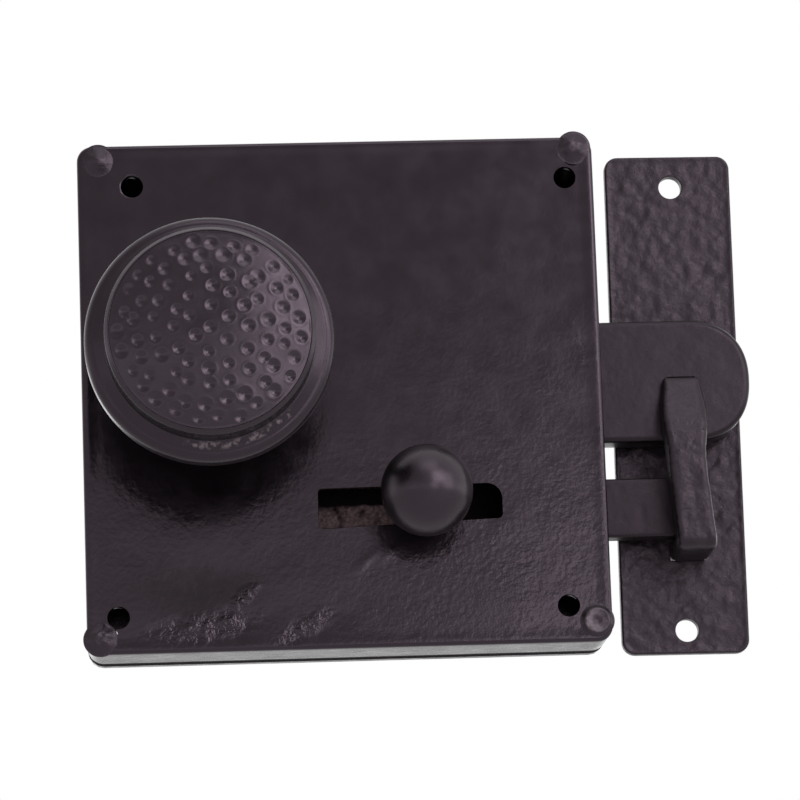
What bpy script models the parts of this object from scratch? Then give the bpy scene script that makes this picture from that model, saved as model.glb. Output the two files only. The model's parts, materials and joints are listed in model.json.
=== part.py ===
"""Privacy door latch: an iron box latch for the face of a door, and its hooked keeper for the frame.

Turning the knob turns the hub inside the case. The hub's finger lifts the latch bar about its pivot until
the bar clears the open top of the keeper's hook. The ball slides the privacy bolt behind the same hook.

Everything is drawn in the plane of the door: local X to the right, local Y up and local Z out of the door,
into the room. The empty door_plane stands that drawing upright, so that world Z is up and the case faces -Y.
The origin is the middle of the case, on the face of the door.
"""
import math
import random

import bmesh
import bpy
from mathutils import Matrix

MM = 0.001

# Case: a folded sheet box on a flat back plate
CASE_WIDTH = 115 * MM
CASE_HEIGHT = 114 * MM
CASE_DEPTH = 22 * MM
SHEET = 2 * MM
BACK_PLATE = 2.5 * MM
CASE_CORNER = 3.5 * MM
CASE_EDGE = 0.8 * MM

# Clearances: between pieces that touch, and between pieces that slide or turn on each other
SEAT = 0.3 * MM
RUN = 0.4 * MM

# Door screws, each as its distance in from the nearest sides of the case: hand drilled, so no two agree.
# The holes in the back plate are smaller and came out lower, so no light shows through.
SCREW_HOLE_R = 2.4 * MM
BACK_HOLE_R = 1.9 * MM
BACK_HOLE_DROP = 1.8 * MM
SCREW_HOLES = {
    "top_left": (12.1 * MM, 9.5 * MM),
    "top_right": (6.4 * MM, 9.4 * MM),
    "bottom_left": (7.0 * MM, 8.0 * MM),
    "bottom_right": (9.5 * MM, 8.1 * MM),
}

# Corner posts, peened over the front of the case: how far each hammered head has spread off its shank
POST_R = 1.9 * MM
POST_INSET = 4.5 * MM
POST_HEAD_R = 3.8 * MM
POST_HEAD_HEIGHT = 0.8 * MM
POST_HEADS = {
    "top_left": (0.2 * MM, 1.0 * MM),
    "top_right": (0.4 * MM, 1.9 * MM),
    "bottom_left": (-1.5 * MM, -1.2 * MM),
    "bottom_right": (1.1 * MM, 0.1 * MM),
}

# Knob and spindle
KNOB_FROM_LEFT = 27.7 * MM
KNOB_Y = 4 * MM
RIM_R = 26.5 * MM
RIM_OFF_CASE = 38.2 * MM
RIM_THICK = 6.6 * MM
RIM_ROUND = 1.6 * MM
FLANGE_FALL = 1 * MM
LIP_OFF_RIM = 12 * MM
DRUM_DRAFT = 0.4 * MM
KNOB_FACE_R = 20.9 * MM
DOME_RISE = 2.2 * MM
KNOB_WALL = 1.6 * MM
KNOB_LIP = 0.7 * MM
NECK_R = 9.5 * MM
NECK_OFF_CASE = 19.6 * MM
SHANK_R = 8 * MM
TENON_R = 6 * MM
SPINDLE = 7 * MM
SPINDLE_BEHIND = 38 * MM
SOCKET_DEPTH = 14 * MM
SET_SCREW_R = 1.6 * MM

# Punch marks on the knob: radius and number of each ring
DIMPLE_R = 1.4 * MM
DIMPLE_DEPTH = 0.35 * MM
DIMPLE_JITTER = 0.22 * MM
DIMPLE_RINGS = ((0, 1), (4.4 * MM, 6), (8.4 * MM, 12), (12.2 * MM, 18), (15.7 * MM, 23), (18.9 * MM, 27))

# Hub and bushes
JOURNAL_R = 6.5 * MM
HUB_R = 8 * MM
BUSH_WALL = 1.8 * MM
BUSH_FLANGE_R = 11.5 * MM
BUSH_FLANGE = 2.5 * MM
FINGER_REACH = 11 * MM
FINGER_TIP_R = 2.5 * MM
FINGER_ROOT_R = 3.5 * MM
FINGER_REST = math.radians(-10)

# Latch bar and its pivot
PIVOT_FROM_LEFT = 9.7 * MM
PIVOT_Y = 10 * MM
PIVOT_R = 3 * MM
PIVOT_HEAD_R = 5 * MM
PIVOT_HEAD = 1.5 * MM
EYE_R = 6.5 * MM
BAR_THICK = 8 * MM
BAR_HEIGHT = 27.5 * MM
BAR_MIDDLE_Y = 2.4 * MM
BAR_BACK = 6 * MM
BAR_EDGE = 1.6 * MM
BAR_OVERHANG = 1.1 * MM
BAR_END_POWER = 2.3
BAR_SHOULDER_R = 6 * MM
ARCH_R = 10 * MM
ARCH_WALL = 8 * MM
SLOPE_FROM_SPRING = 8 * MM
LATCH_LIFT = math.radians(7.5)
STOP_FROM_RIGHT = 32.5 * MM
STOP_R = 2.5 * MM

# Return spring, between the bar and a bracket on the back plate
SPRING_FROM_RIGHT = 47.5 * MM
SPRING_R = 3.45 * MM
SPRING_WIRE_R = 0.55 * MM
SPRING_TURNS = 7
SPRING_PEG_R = 2 * MM
SPRING_PEG = 4 * MM
BRACKET_SHEET = 2 * MM
BRACKET_WIDTH = 15 * MM
BRACKET_FOOT = 9 * MM
BRACKET_REACH = 12 * MM
BRACKET_BELOW_COVER = 1.75 * MM

# Privacy bolt, its ball and its travel each way from where the photograph shows it
BOLT_Y = -26 * MM
BOLT_HEIGHT = 13.2 * MM
BOLT_THICK = 6 * MM
BOLT_BACK = 7 * MM
BOLT_EDGE = 0.7 * MM
BOLT_TAIL_SPARE = 2 * MM
BALL_FROM_RIGHT = 41.0 * MM
BALL_Y = -25.6 * MM
BALL_R = 10 * MM
BALL_OFF_CASE = 18 * MM
STEM_R = 3 * MM
STEM_TENON_R = 2.4 * MM
BOLT_IN = 19.4 * MM
BOLT_OUT = 14.4 * MM
SLOT_HEIGHT = 8.3 * MM
SLOT_TOP_TILT = math.radians(0.6)
SLOT_BOTTOM_TILT = math.radians(2.2)
SLOT_SMALL_CORNER = 0.9 * MM
SLOT_LARGE_CORNER = 3.4 * MM

# Bolt guides: window blocks riveted to the back plate
GUIDE_FROM_SLOT = 9.5 * MM
GUIDE_FROM_RIGHT = 14.5 * MM
GUIDE_LENGTH = 6 * MM
GUIDE_SIDE = 4.1 * MM
GUIDE_ROOF = 2.2 * MM
RIVET_R = 1.2 * MM
RIVET_HEAD_R = 2 * MM
RIVET_HEAD = 1.2 * MM

# Bowed leaf under the bolt
LEAF_FROM_GUIDE = 4 * MM
LEAF_WIDTH = 8 * MM
LEAF_THICK = 0.6 * MM
LEAF_FLAT = 7 * MM

# Keeper: a flat plate on the frame, with a hook for the bar and the bolt
DOOR_GAP = 4.4 * MM
KEEPER_WIDTH = 28.6 * MM
KEEPER_HEIGHT = 114.4 * MM
KEEPER_THICK = 3 * MM
KEEPER_CORNER = 3 * MM
KEEPER_MIDDLE_Y = -0.5 * MM
KEEPER_TURN = math.radians(-0.4)
KEEPER_HOLE_R = 2.6 * MM
KEEPER_TOP_HOLE = (0.6 * MM, 7.2 * MM)
KEEPER_BOTTOM_HOLE = (0.4 * MM, 5.3 * MM)

# Forged hook: an upright shank that leans to the foot, wide cheeks and a narrower tip
HOOK_FROM_PLATE_MIDDLE = -0.35 * MM
HOOK_FOOT_SHIFT = 1.4 * MM
HOOK_WIDTH = 8.8 * MM
HOOK_CHEEK_WIDTH = 10 * MM
HOOK_TIP_WIDTH = 8.3 * MM
HOOK_TOP_Y = 2.9 * MM
HOOK_CHEEK = 8.5 * MM
HOOK_RAMP = 13.4 * MM
HOOK_NECK = 19 * MM
HOOK_TIP = 1.6 * MM
HOOK_FOOT_Y = -37 * MM
HOOK_FOOT = 3.6 * MM
HOOK_FOOT_ROUND = 3 * MM
HOOK_TENON_SHOULDER = 0.7 * MM
HOOK_PLAY = 0.6 * MM
HOOK_EDGE = 1.2 * MM
BOLT_END_BEHIND_HOOK = 1.9 * MM

# Places that several pieces share, as heights off the door
CASE_BACK = BACK_PLATE + SEAT
COVER_INSIDE = CASE_DEPTH - SHEET
BAR_FRONT = BAR_BACK + BAR_THICK
BOLT_FRONT = BOLT_BACK + BOLT_THICK
BUSH_FACE = CASE_DEPTH + SEAT + BUSH_FLANGE
SHANK_BACK = BUSH_FACE + SEAT
NECK_BACK = CASE_DEPTH + NECK_OFF_CASE
RIM_HEIGHT = CASE_DEPTH + RIM_OFF_CASE
LIP_HEIGHT = RIM_HEIGHT + LIP_OFF_RIM
BALL_HEIGHT = CASE_DEPTH + BALL_OFF_CASE

# Places across the door
CASE_LEFT = -CASE_WIDTH / 2
CASE_RIGHT = CASE_WIDTH / 2
KNOB_X = CASE_LEFT + KNOB_FROM_LEFT
PIVOT_X = CASE_LEFT + PIVOT_FROM_LEFT
STOP_X = CASE_RIGHT - STOP_FROM_RIGHT
SPRING_X = CASE_RIGHT - SPRING_FROM_RIGHT
BALL_X = CASE_RIGHT - BALL_FROM_RIGHT
SLOT_LEFT = BALL_X - BOLT_IN - STEM_R - SEAT
SLOT_RIGHT = BALL_X + BOLT_OUT + STEM_R + SEAT
GUIDE_X = (SLOT_LEFT - GUIDE_FROM_SLOT, CASE_RIGHT - GUIDE_FROM_RIGHT)
BOLT_TAIL_X = GUIDE_X[0] - GUIDE_LENGTH / 2 - BOLT_OUT - BOLT_TAIL_SPARE
LEAF_START_X = GUIDE_X[0] + GUIDE_LENGTH / 2 + LEAF_FROM_GUIDE
LEAF_END_X = GUIDE_X[1] - GUIDE_LENGTH / 2 - LEAF_FROM_GUIDE
KEEPER_LEFT = CASE_RIGHT + DOOR_GAP
KEEPER_RIGHT = KEEPER_LEFT + KEEPER_WIDTH
KEEPER_X = (KEEPER_LEFT + KEEPER_RIGHT) / 2
HOOK_X = KEEPER_X + HOOK_FROM_PLATE_MIDDLE
HOOK_FOOT_X = HOOK_X + HOOK_FOOT_SHIFT
BAR_END_X = KEEPER_RIGHT + BAR_OVERHANG
BAR_TOP = BAR_MIDDLE_Y + BAR_HEIGHT / 2
BAR_BOTTOM = BAR_MIDDLE_Y - BAR_HEIGHT / 2
BOLT_END_X = HOOK_X + BOLT_END_BEHIND_HOOK
SPRING_BOTTOM = BAR_TOP + SEAT
BRACKET_TOP = CASE_HEIGHT / 2 - SHEET - BRACKET_BELOW_COVER
BRACKET_SHELF = BRACKET_TOP - BRACKET_FOOT - BRACKET_SHEET
SPRING_TOP = BRACKET_SHELF - SEAT
SPRING_HEIGHT = (BAR_BACK + BAR_FRONT) / 2

KNOB_ROUND = 30
ROUND = 24
SMALL_ROUND = 16
TINY = 1e-5

# Finishes as colour, roughness and metallic value
PAINT = ((0.045, 0.038, 0.042), 0.42, 0.0)
ROUGH_PAINT = ((0.040, 0.034, 0.038), 0.55, 0.0)
BARE_IRON = ((0.22, 0.17, 0.15), 0.6, 0.8)
BRIGHT_STEEL = ((0.55, 0.55, 0.56), 0.35, 1.0)
SPRING_STEEL = ((0.30, 0.30, 0.32), 0.35, 1.0)
BRASS = ((0.60, 0.45, 0.20), 0.35, 1.0)


def clear_scene():
    for obj in list(bpy.data.objects):
        bpy.data.objects.remove(obj, do_unlink=True)


def new_collection(name):
    made = bpy.data.collections.new(name)
    bpy.context.scene.collection.children.link(made)
    return made


def new_empty(name, parent=None, at=(0, 0, 0), turn=(0, 0, 0)):
    empty = bpy.data.objects.new(name, None)
    empty.empty_display_size = CASE_DEPTH / 2
    empty.location = at
    empty.rotation_euler = turn
    empty.parent = parent
    PARTS.objects.link(empty)
    return empty


def new_material(name, finish):
    colour, roughness, metallic = finish
    made = bpy.data.materials.new(name)
    made.use_nodes = True
    shader = made.node_tree.nodes["Principled BSDF"]
    shader.inputs["Base Color"].default_value = (*colour, 1)
    shader.inputs["Roughness"].default_value = roughness
    shader.inputs["Metallic"].default_value = metallic
    return made


def new_piece(name, mesh, finish, carrier=None):
    """Link a piece drawn in the plane of the door, carried by door_plane or by the empty of its joint."""
    carrier = carrier or DOOR_PLANE
    mesh.materials.append(new_material(name, finish))
    mesh.shade_smooth()
    mesh.set_sharp_from_angle(angle=math.radians(35))
    piece = bpy.data.objects.new(name, mesh)
    piece.parent = carrier
    if carrier is not DOOR_PLANE:
        piece.location = -carrier.location
    PARTS.objects.link(piece)
    return piece


def new_tool(name, mesh):
    """Link a mesh that only cuts or joins another piece."""
    tool = bpy.data.objects.new(name, mesh)
    tool.parent = DOOR_PLANE
    tool.hide_render = True
    tool.display_type = "WIRE"
    CUTTERS.objects.link(tool)
    return tool


def combine(piece, operation, *meshes):
    for number, mesh in enumerate(meshes):
        modifier = piece.modifiers.new(f"{operation.lower()}_{number}", "BOOLEAN")
        modifier.operation = operation
        modifier.solver = "EXACT"
        modifier.object = new_tool(f"{piece.name}_{operation.lower()}_{number}", mesh)


def cut(piece, *meshes):
    combine(piece, "DIFFERENCE", *meshes)


def join(piece, *meshes):
    combine(piece, "UNION", *meshes)


def round_edges(piece, width, segments=2):
    modifier = piece.modifiers.new("round_edges", "BEVEL")
    modifier.width = width
    modifier.segments = segments
    modifier.limit_method = "ANGLE"
    modifier.angle_limit = math.radians(40)
    modifier.harden_normals = False


def arc(cx, cy, radius, start, end, steps):
    """Points on a circle from one angle to another, in degrees."""
    points = []
    for i in range(steps + 1):
        angle = math.radians(start + (end - start) * i / steps)
        points.append((cx + radius * math.cos(angle), cy + radius * math.sin(angle)))
    return points


def rounded_box(left, bottom, right, top, radii, steps=4):
    """Outline of a box whose corners have the given radii: bottom left, bottom right, top right, top left."""
    a, b, c, d = radii
    outline = arc(left + a, bottom + a, a, 180, 270, steps)
    outline += arc(right - b, bottom + b, b, 270, 360, steps)
    outline += arc(right - c, top - c, c, 0, 90, steps)
    outline += arc(left + d, top - d, d, 90, 180, steps)
    return outline


# Turns a slab drawn flat so that it faces out of the door, along local X or along local -Y
FACING = {
    "front": Matrix.Identity(4),
    "side": Matrix(((0, 0, 1, 0), (1, 0, 0, 0), (0, 1, 0, 0), (0, 0, 0, 1))),
    "down": Matrix(((1, 0, 0, 0), (0, 0, -1, 0), (0, 1, 0, 0), (0, 0, 0, 1))),
}


def slab(outline, low, high, facing="front"):
    """A flat outline given thickness from low to high, as a 2D curve made into a mesh."""
    curve = bpy.data.curves.new("outline", "CURVE")
    curve.dimensions = "2D"
    curve.fill_mode = "BOTH"
    curve.extrude = (high - low) / 2
    spline = curve.splines.new("POLY")
    spline.points.add(len(outline) - 1)
    for point, (x, y) in zip(spline.points, outline):
        point.co = (x, y, 0, 1)
    spline.use_cyclic_u = True
    holder = bpy.data.objects.new("outline", curve)
    CUTTERS.objects.link(holder)
    mesh = bpy.data.meshes.new_from_object(holder.evaluated_get(bpy.context.evaluated_depsgraph_get()))
    bpy.data.objects.remove(holder)
    mesh.transform(FACING[facing] @ Matrix.Translation((0, 0, (low + high) / 2)))
    clean(mesh)
    return mesh


def clean(mesh):
    """Weld a mesh's loose caps, merge its flat faces and turn them all outwards."""
    shape = bmesh.new()
    shape.from_mesh(mesh)
    bmesh.ops.remove_doubles(shape, verts=shape.verts, dist=TINY)
    bmesh.ops.dissolve_limit(shape, angle_limit=math.radians(0.5), verts=shape.verts, edges=shape.edges)
    bmesh.ops.recalc_face_normals(shape, faces=shape.faces)
    shape.to_mesh(mesh)
    shape.free()


def block(low, high):
    """A box between two corners."""
    shape = bmesh.new()
    bmesh.ops.create_cube(shape, size=1)
    for vert in shape.verts:
        for axis in range(3):
            vert.co[axis] = low[axis] if vert.co[axis] < 0 else high[axis]
    mesh = bpy.data.meshes.new("block")
    shape.to_mesh(mesh)
    shape.free()
    return mesh


def rod(x, y, low, high, radius, steps=SMALL_ROUND):
    """A round rod that stands out of the door."""
    shape = bmesh.new()
    place = Matrix.Translation((x, y, (low + high) / 2))
    bmesh.ops.create_cone(shape, cap_ends=True, segments=steps, radius1=radius, radius2=radius,
                          depth=high - low, matrix=place)
    mesh = bpy.data.meshes.new("rod")
    shape.to_mesh(mesh)
    shape.free()
    return mesh


def upright_rod(x, out, low, high, radius, steps=SMALL_ROUND):
    """A round rod that stands up the door, from low to high."""
    mesh = rod(0, 0, low, high, radius, steps)
    mesh.transform(Matrix.Translation((x, 0, out)) @ Matrix.Rotation(math.radians(-90), 4, "X"))
    return mesh


def turned(profile, x, y, steps=ROUND, closed=False, wall=0):
    """A profile of (radius, height) points, from its top down its outer side, turned about an axis.

    A closed profile is a ring. A wall makes an open profile a shell of that thickness.
    """
    mesh = bpy.data.meshes.new("profile")
    edges = [(i, i + 1) for i in range(len(profile) - 1)]
    if closed:
        edges.append((len(profile) - 1, 0))
    mesh.from_pydata([(radius, 0, height) for radius, height in profile], edges, [])
    holder = bpy.data.objects.new("profile", mesh)
    CUTTERS.objects.link(holder)
    screw = holder.modifiers.new("turn", "SCREW")
    screw.steps = steps
    screw.render_steps = steps
    screw.use_merge_vertices = True
    screw.merge_threshold = TINY
    if wall:
        shell = holder.modifiers.new("wall", "SOLIDIFY")
        shell.thickness = wall
        shell.offset = -1
        shell.use_even_offset = True
    made = bpy.data.meshes.new_from_object(holder.evaluated_get(bpy.context.evaluated_depsgraph_get()))
    bpy.data.objects.remove(holder)
    made.transform(Matrix.Translation((x, y, 0)))
    return made


def corner(name):
    """The signs of a named corner of the case: left or right, and bottom or top."""
    return (-1 if "left" in name else 1), (-1 if "bottom" in name else 1)


def screw_hole_place(name):
    side, end = corner(name)
    inset_x, inset_y = SCREW_HOLES[name]
    return side * (CASE_WIDTH / 2 - inset_x), end * (CASE_HEIGHT / 2 - inset_y)


def post_place(name):
    side, end = corner(name)
    return side * (CASE_WIDTH / 2 - POST_INSET), end * (CASE_HEIGHT / 2 - POST_INSET)


def guide_bottom():
    return BOLT_Y - BOLT_HEIGHT / 2 - RUN - GUIDE_SIDE


def guide_top():
    return BOLT_Y + BOLT_HEIGHT / 2 + RUN + GUIDE_SIDE


def guide_rivet_places():
    """Middles of the solid sides of each bolt guide."""
    return [(x, y) for x in GUIDE_X for y in (guide_bottom() + GUIDE_SIDE / 2, guide_top() - GUIDE_SIDE / 2)]


def bracket_rivet_places():
    y = BRACKET_TOP - BRACKET_FOOT / 2
    return [(SPRING_X + side * BRACKET_WIDTH / 4, y) for side in (-1, 1)]


def leaf_rivet_place():
    return LEAF_START_X + LEAF_FLAT / 2, BOLT_Y


def stop_place():
    return STOP_X, BAR_BOTTOM - SEAT - STOP_R


def lifted_height(x, y):
    """Height at which a line of the bar, level at y when shut, passes x when the bar is lifted."""
    return PIVOT_Y + (x - PIVOT_X) * math.tan(LATCH_LIFT) + (y - PIVOT_Y) / math.cos(LATCH_LIFT)


def slot_outline():
    """The hand-cut slot for the ball's stem, as long as the bolt's travel, with each long side at its own tilt."""
    radii = (SLOT_SMALL_CORNER, SLOT_SMALL_CORNER, SLOT_LARGE_CORNER, SLOT_SMALL_CORNER)
    outline = rounded_box(SLOT_LEFT, -SLOT_HEIGHT / 2, SLOT_RIGHT, SLOT_HEIGHT / 2, radii)
    middle = (SLOT_LEFT + SLOT_RIGHT) / 2
    tilted = []
    for x, y in outline:
        tilt = SLOT_TOP_TILT if y > 0 else SLOT_BOTTOM_TILT
        tilted.append((x, BALL_Y + y + (x - middle) * math.tan(tilt)))
    return tilted


def front_cover():
    """Sheet box, open at the back. Its front edge is slightly rounded and its corners more."""
    shape = bmesh.new()
    bmesh.ops.create_cube(shape, size=1)
    for vert in shape.verts:
        vert.co.x *= CASE_WIDTH
        vert.co.y *= CASE_HEIGHT
        vert.co.z = CASE_BACK if vert.co.z < 0 else CASE_DEPTH
    bmesh.ops.delete(shape, geom=[face for face in shape.faces if face.normal.z < -0.5], context="FACES")
    folds = [edge for edge in shape.edges if abs(edge.verts[0].co.z - edge.verts[1].co.z) > SHEET]
    bmesh.ops.bevel(shape, geom=folds, offset=CASE_CORNER, offset_type="OFFSET", segments=5, profile=0.5,
                    affect="EDGES")
    mesh = bpy.data.meshes.new("front_cover")
    shape.to_mesh(mesh)
    shape.free()
    cover = new_piece("front_cover", mesh, PAINT)
    sheet = cover.modifiers.new("sheet", "SOLIDIFY")
    sheet.thickness = SHEET
    sheet.offset = -1
    sheet.use_even_offset = True
    round_edges(cover, CASE_EDGE)
    through = (CASE_BACK, CASE_DEPTH + SHEET)
    for name in SCREW_HOLES:
        cut(cover, rod(*screw_hole_place(name), *through, SCREW_HOLE_R))
        cut(cover, rod(*post_place(name), COVER_INSIDE - SHEET, CASE_DEPTH + SHEET, POST_R + SEAT))
    cut(cover, rod(KNOB_X, KNOB_Y, *through, JOURNAL_R + SEAT + BUSH_WALL + SEAT, ROUND))
    cut(cover, slab(slot_outline(), COVER_INSIDE - SHEET, CASE_DEPTH + SHEET))
    wall = (CASE_RIGHT - 2 * SHEET, CASE_RIGHT + SHEET)
    bar_top = lifted_height(CASE_RIGHT, BAR_TOP) + RUN
    cut(cover, block((wall[0], BAR_BOTTOM - SEAT, BAR_BACK - RUN), (wall[1], bar_top, BAR_FRONT + RUN)))
    bolt_low = BOLT_Y - BOLT_HEIGHT / 2 - RUN
    bolt_high = BOLT_Y + BOLT_HEIGHT / 2 + RUN
    cut(cover, block((wall[0], bolt_low, BOLT_BACK - RUN), (wall[1], bolt_high, BOLT_FRONT + RUN)))


def back_plate():
    """Flat plate that the posts, pivots, guides and bracket are riveted to."""
    half_x = CASE_WIDTH / 2
    half_y = CASE_HEIGHT / 2
    outline = rounded_box(-half_x, -half_y, half_x, half_y, [CASE_CORNER] * 4)
    plate = new_piece("back_plate", slab(outline, 0, BACK_PLATE), PAINT)
    through = (-BACK_PLATE, 2 * BACK_PLATE)
    for name in SCREW_HOLES:
        x, y = screw_hole_place(name)
        cut(plate, rod(x, y - BACK_HOLE_DROP, *through, BACK_HOLE_R))
        cut(plate, rod(*post_place(name), *through, POST_R + SEAT))
    cut(plate, rod(KNOB_X, KNOB_Y, *through, JOURNAL_R + SEAT + BUSH_WALL + SEAT, ROUND))
    cut(plate, rod(PIVOT_X, PIVOT_Y, *through, PIVOT_R + SEAT))
    for place in guide_rivet_places() + bracket_rivet_places() + [leaf_rivet_place(), stop_place()]:
        cut(plate, rod(*place, *through, RIVET_R + SEAT, SMALL_ROUND - 4))


def corner_posts():
    """Each post is headed by hammering, so its flat dome has spread to one side."""
    top = CASE_DEPTH + SEAT + POST_HEAD_HEIGHT
    for name in POST_HEADS:
        x, y = post_place(name)
        shift_x, shift_y = POST_HEADS[name]
        dome = [(0, top), (0.5 * POST_HEAD_R, top - 0.08 * MM), (0.85 * POST_HEAD_R, top - 0.3 * MM)]
        dome += [(POST_HEAD_R, CASE_DEPTH + SEAT), (0, CASE_DEPTH + SEAT)]
        post = new_piece(f"corner_post_{name}", rod(x, y, SEAT, CASE_DEPTH + 2 * SEAT, POST_R), PAINT)
        join(post, turned(dome, x + shift_x, y + shift_y, steps=SMALL_ROUND))


def front_bush():
    """Flanged bush, whose flange shows as the rose under the knob."""
    bore = JOURNAL_R + SEAT
    sleeve = bore + BUSH_WALL
    inside = COVER_INSIDE - BUSH_WALL
    profile = [(bore, BUSH_FACE), (BUSH_FLANGE_R - 1.2 * MM, BUSH_FACE)]
    profile += [(BUSH_FLANGE_R, BUSH_FACE - 1.2 * MM), (BUSH_FLANGE_R, CASE_DEPTH + SEAT)]
    profile += [(sleeve, CASE_DEPTH + SEAT), (sleeve, inside), (bore, inside)]
    new_piece("front_bush", turned(profile, KNOB_X, KNOB_Y, closed=True), PAINT)


def rear_bush():
    """Bush in the back plate, with its flange inside the case."""
    bore = JOURNAL_R + SEAT
    sleeve = bore + BUSH_WALL
    flange = CASE_BACK + BUSH_WALL
    profile = [(bore, flange), (sleeve + BUSH_WALL, flange), (sleeve + BUSH_WALL, CASE_BACK)]
    profile += [(sleeve, CASE_BACK), (sleeve, SEAT), (bore, SEAT)]
    new_piece("rear_bush", turned(profile, KNOB_X, KNOB_Y, closed=True), BRASS)


def square_hole(low, high):
    """Cutter for the spindle's square, with a gap on each side."""
    half = SPINDLE / 2 + SEAT
    return block((KNOB_X - half, KNOB_Y - half, low), (KNOB_X + half, KNOB_Y + half, high))


def lift_hub():
    """Turned hub with a journal at each end, a square hole and the finger that lifts the bar."""
    rear_face = CASE_BACK + BUSH_WALL + SEAT
    front_face = COVER_INSIDE - BUSH_WALL - SEAT
    profile = [(0, BUSH_FACE), (JOURNAL_R, BUSH_FACE), (JOURNAL_R, front_face), (HUB_R, front_face)]
    profile += [(HUB_R, rear_face), (JOURNAL_R, rear_face), (JOURNAL_R, SEAT), (0, SEAT)]
    hub = new_piece("lift_hub", turned(profile, KNOB_X, KNOB_Y), BARE_IRON, KNOB_AXIS)
    outline = arc(FINGER_ROOT_R, 0, FINGER_ROOT_R, 90, 270, 6) + arc(FINGER_REACH, 0, FINGER_TIP_R, -90, 90, 8)
    finger = slab(outline, BAR_BACK, BAR_FRONT)
    finger.transform(Matrix.Translation((KNOB_X, KNOB_Y, 0)) @ Matrix.Rotation(FINGER_REST, 4, "Z"))
    join(hub, finger)
    cut(hub, square_hole(-BACK_PLATE, BUSH_FACE + BACK_PLATE))


def spindle():
    """Square bar from the knob, through the hub and the door, for the knob on the other side."""
    half = SPINDLE / 2
    front = SHANK_BACK + SOCKET_DEPTH - SEAT
    mesh = block((KNOB_X - half, KNOB_Y - half, -SPINDLE_BEHIND), (KNOB_X + half, KNOB_Y + half, front))
    round_edges(new_piece("spindle", mesh, BRIGHT_STEEL, KNOB_AXIS), 0.5 * MM, 1)


def knob_shank():
    """Solid shank with a square socket. Its tenon goes through the back of the knob and is headed inside."""
    inside = NECK_BACK + KNOB_WALL + SEAT
    head_r = NECK_R - KNOB_WALL - SEAT
    profile = [(0, inside + 2 * MM), (head_r - 1 * MM, inside + 2 * MM), (head_r, inside + 1 * MM)]
    profile += [(head_r, inside), (TENON_R, inside), (TENON_R, NECK_BACK - SEAT), (SHANK_R, NECK_BACK - SEAT)]
    profile += [(SHANK_R, SHANK_BACK + 0.8 * MM), (SHANK_R - 0.8 * MM, SHANK_BACK), (0, SHANK_BACK)]
    shank = new_piece("knob_shank", turned(profile, KNOB_X, KNOB_Y), PAINT, KNOB_AXIS)
    cut(shank, square_hole(SHANK_BACK - BUSH_FLANGE, SHANK_BACK + SOCKET_DEPTH))
    height = SHANK_BACK + SOCKET_DEPTH / 2
    cut(shank, upright_rod(KNOB_X, height, KNOB_Y - 2 * SHANK_R, KNOB_Y, SET_SCREW_R + SEAT))


def knob_set_screw():
    """Headless screw under the shank, tight on the spindle."""
    height = SHANK_BACK + SOCKET_DEPTH / 2
    low = KNOB_Y - SHANK_R + 0.4 * MM
    high = KNOB_Y - SPINDLE / 2 - SEAT
    screw = new_piece("knob_set_screw", upright_rod(KNOB_X, height, low, high, SET_SCREW_R), BRIGHT_STEEL, KNOB_AXIS)
    half = 0.3 * MM
    slot_low = (KNOB_X - 2 * SET_SCREW_R, low - 1 * MM, height - half)
    cut(screw, block(slot_low, (KNOB_X + 2 * SET_SCREW_R, low + 0.8 * MM, height + half)))


def knob_body():
    """Hollow knob: a drum that holds the face, a flange with a rounded rim round it, and a trumpet to the neck."""
    lip = KNOB_FACE_R + SEAT + KNOB_LIP
    edge = RIM_R - RIM_ROUND
    rim_front = RIM_HEIGHT + RIM_THICK / 2
    rim_back = RIM_HEIGHT - RIM_THICK / 2
    profile = [(lip, LIP_HEIGHT), (lip + DRUM_DRAFT, rim_front + FLANGE_FALL)]
    profile += arc(edge, rim_front - RIM_ROUND, RIM_ROUND, 90, 0, 2)
    profile += arc(edge, rim_back + RIM_ROUND, RIM_ROUND, 0, -90, 2)
    trumpet = 5
    for i in range(1, trumpet + 1):
        angle = math.radians(90 * i / trumpet)
        radius = NECK_R + (edge - NECK_R) * (1 - math.sin(angle))
        profile.append((radius, NECK_BACK + (rim_back - NECK_BACK) * math.cos(angle)))
    profile.append((TENON_R + SEAT, NECK_BACK))
    mesh = turned(profile, KNOB_X, KNOB_Y, steps=KNOB_ROUND, wall=KNOB_WALL)
    body = new_piece("knob_body", mesh, PAINT, KNOB_AXIS)
    seat = LIP_HEIGHT - KNOB_WALL - SEAT
    cut(body, rod(KNOB_X, KNOB_Y, seat, LIP_HEIGHT + KNOB_WALL, KNOB_FACE_R + SEAT, KNOB_ROUND))


def dome_height(radius):
    """Height of the knob's face off the door: highest in the middle, and level with the lip at its edge."""
    return LIP_HEIGHT + DOME_RISE * (1 - (radius / KNOB_FACE_R) ** 2)


def punch_marks():
    """One cutter of flattened balls, set in rings on the dome, each a little out of its place."""
    chance = random.Random(11)
    shape = bmesh.new()
    for ring, (ring_r, count) in enumerate(DIMPLE_RINGS):
        for i in range(count):
            angle = 2 * math.pi * (i + 0.5 * ring) / count
            x = ring_r * math.cos(angle) + chance.uniform(-DIMPLE_JITTER, DIMPLE_JITTER)
            y = ring_r * math.sin(angle) + chance.uniform(-DIMPLE_JITTER, DIMPLE_JITTER)
            place = Matrix.Translation((KNOB_X + x, KNOB_Y + y, dome_height(math.hypot(x, y))))
            flat = Matrix.Diagonal((DIMPLE_R, DIMPLE_R, DIMPLE_DEPTH, 1))
            bmesh.ops.create_uvsphere(shape, u_segments=6, v_segments=4, radius=1, matrix=place @ flat)
    mesh = bpy.data.meshes.new("punch_marks")
    shape.to_mesh(mesh)
    shape.free()
    return mesh


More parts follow.
